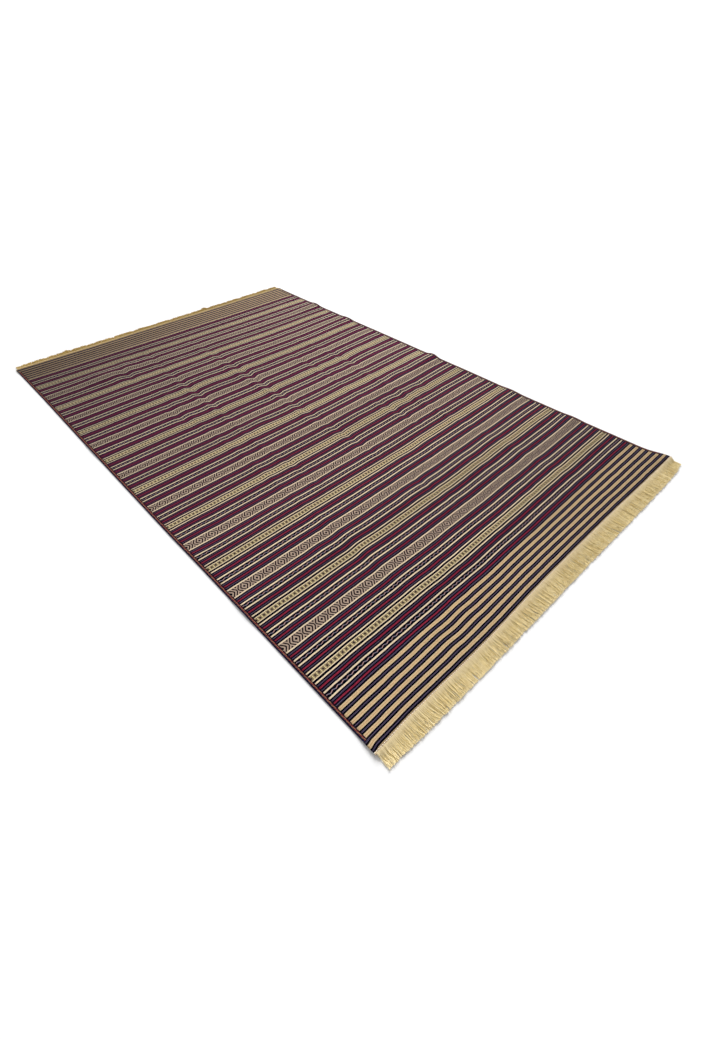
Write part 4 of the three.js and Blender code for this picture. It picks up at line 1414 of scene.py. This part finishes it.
for label, value in (("Geometry", marked.outputs[0]), ("Name", "strand"), ("Value", mixed)):
    bench.join(value, toned.inputs[label])
close_tree(bench, given, out, sweep(bench, given, toned.outputs[0]))

rng = np.random.default_rng(20)
fringes = {}
for name, end in (("near", -1), ("far", 1)):
    path = path_mesh("yarn_path_" + name, fringe_runs(end, rng))
    fringes[name] = grow("fringe_yarns_" + name, path, bench.tree, {"Material": gold_yarns[name]})

# %% [markdown]
# The photograph's camera was worked out from the cloth's four corners: a wide lens about chest
# height, just off the near left corner. The floor and the backdrop are one pale plane, and the
# light is a bright plain surround with one broad soft lamp from the far right.

# %% Camera, floor and light
CAMERA_PLACE = Vector((-1.3892, -1.9251, 1.4571))
CAMERA_AIM = Vector((-0.3724, -0.8413, 0.0030))
CAMERA_ROLL = math.radians(-0.28)
LONG_SIDE_PX = 1040
FOCAL_PX = 493.5
SENSOR_MM = 36.0
FLOOR_HALF = 30.0
FLOOR_CORNERS = ((-1, -1), (1, -1), (1, 1), (-1, 1))
FLOOR_TONE = 0.9

camera = bpy.data.objects.new("camera", bpy.data.cameras.new("camera"))
camera.data.sensor_width = SENSOR_MM
camera.data.lens = camera.data.sensor_width * FOCAL_PX / LONG_SIDE_PX
camera.location = CAMERA_PLACE
level = (CAMERA_AIM - CAMERA_PLACE).to_track_quat("-Z", "Y")
camera.rotation_mode = "QUATERNION"
camera.rotation_quaternion = level @ Quaternion((0, 0, 1), CAMERA_ROLL)
collection.objects.link(camera)
bpy.context.scene.camera = camera

floor_mesh = bpy.data.meshes.new("floor")
corners = [(a * FLOOR_HALF, b * FLOOR_HALF, 0) for a, b in FLOOR_CORNERS]
floor_mesh.from_pydata(corners, [], [(0, 1, 2, 3)])
floor_material, _, floor_shader = new_material("Pale floor")
floor_shader.inputs["Base Color"].default_value = (FLOOR_TONE, FLOOR_TONE, FLOOR_TONE, 1.0)
floor_shader.inputs["Roughness"].default_value = 0.8
floor_mesh.materials.append(floor_material)
floor = link("floor", floor_mesh)

WALL_LIGHT = 1.15
CEILING_LIGHT = 0.5
WALL_TOP = 0.12
CEILING_START = 0.25
LAMP_STRENGTH = 4.0
LAMP_SPREAD = math.radians(38)
LAMP_HEADING = Vector((-0.92, -0.88, -0.74))
world = bpy.data.worlds.new("studio")
world.use_nodes = True
studio = Bench(world.node_tree)
heading = studio.add("ShaderNodeTexCoord").outputs["Generated"]
upwards = studio.add("ShaderNodeSeparateXYZ", {0: heading}).outputs[2]
glow = studio.stretch(upwards, WALL_TOP, CEILING_START, WALL_LIGHT, CEILING_LIGHT)
studio.join(glow, world.node_tree.nodes["Background"].inputs["Strength"])
world.node_tree.nodes["Background"].inputs["Color"].default_value = (1.0, 1.0, 1.0, 1.0)
bpy.context.scene.world = world

lamp = bpy.data.objects.new("soft_lamp", bpy.data.lights.new("soft_lamp", "SUN"))
lamp.data.energy = LAMP_STRENGTH
lamp.data.angle = LAMP_SPREAD
lamp.rotation_mode = "QUATERNION"
lamp.rotation_quaternion = LAMP_HEADING.to_track_quat("-Z", "Y")
collection.objects.link(lamp)
bpy.context.scene.view_settings.view_transform = "Standard"
print("Lens, mm:", round(camera.data.lens, 2))

# %% [markdown]
# Every piece rides on the rug's one body, and the frame's solids of the cloth, the side cords and the
# fringes are hidden.

# %% Attach the pieces to the rug's body and hide the frame's solids
yarn_work = [*cord_pieces.values(), *edging_pieces]
end_work = [*tapes.values(), *stitch_pieces.values(), *fringes.values()]
for piece, slot in (
    [(cloth, "striped_wool")]
    + [(piece, "navy_yarn") for piece in yarn_work]
    + [(piece, "gold_yarn") for piece in end_work]
):
    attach(piece, "root")
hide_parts("woven_cloth")
for name in ("left", "right"):
    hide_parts("side_cord_" + name)
for name in ("near", "far"):
    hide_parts("fringe_" + name)
print("Pieces that ride with the cloth:", len(yarn_work + end_work))
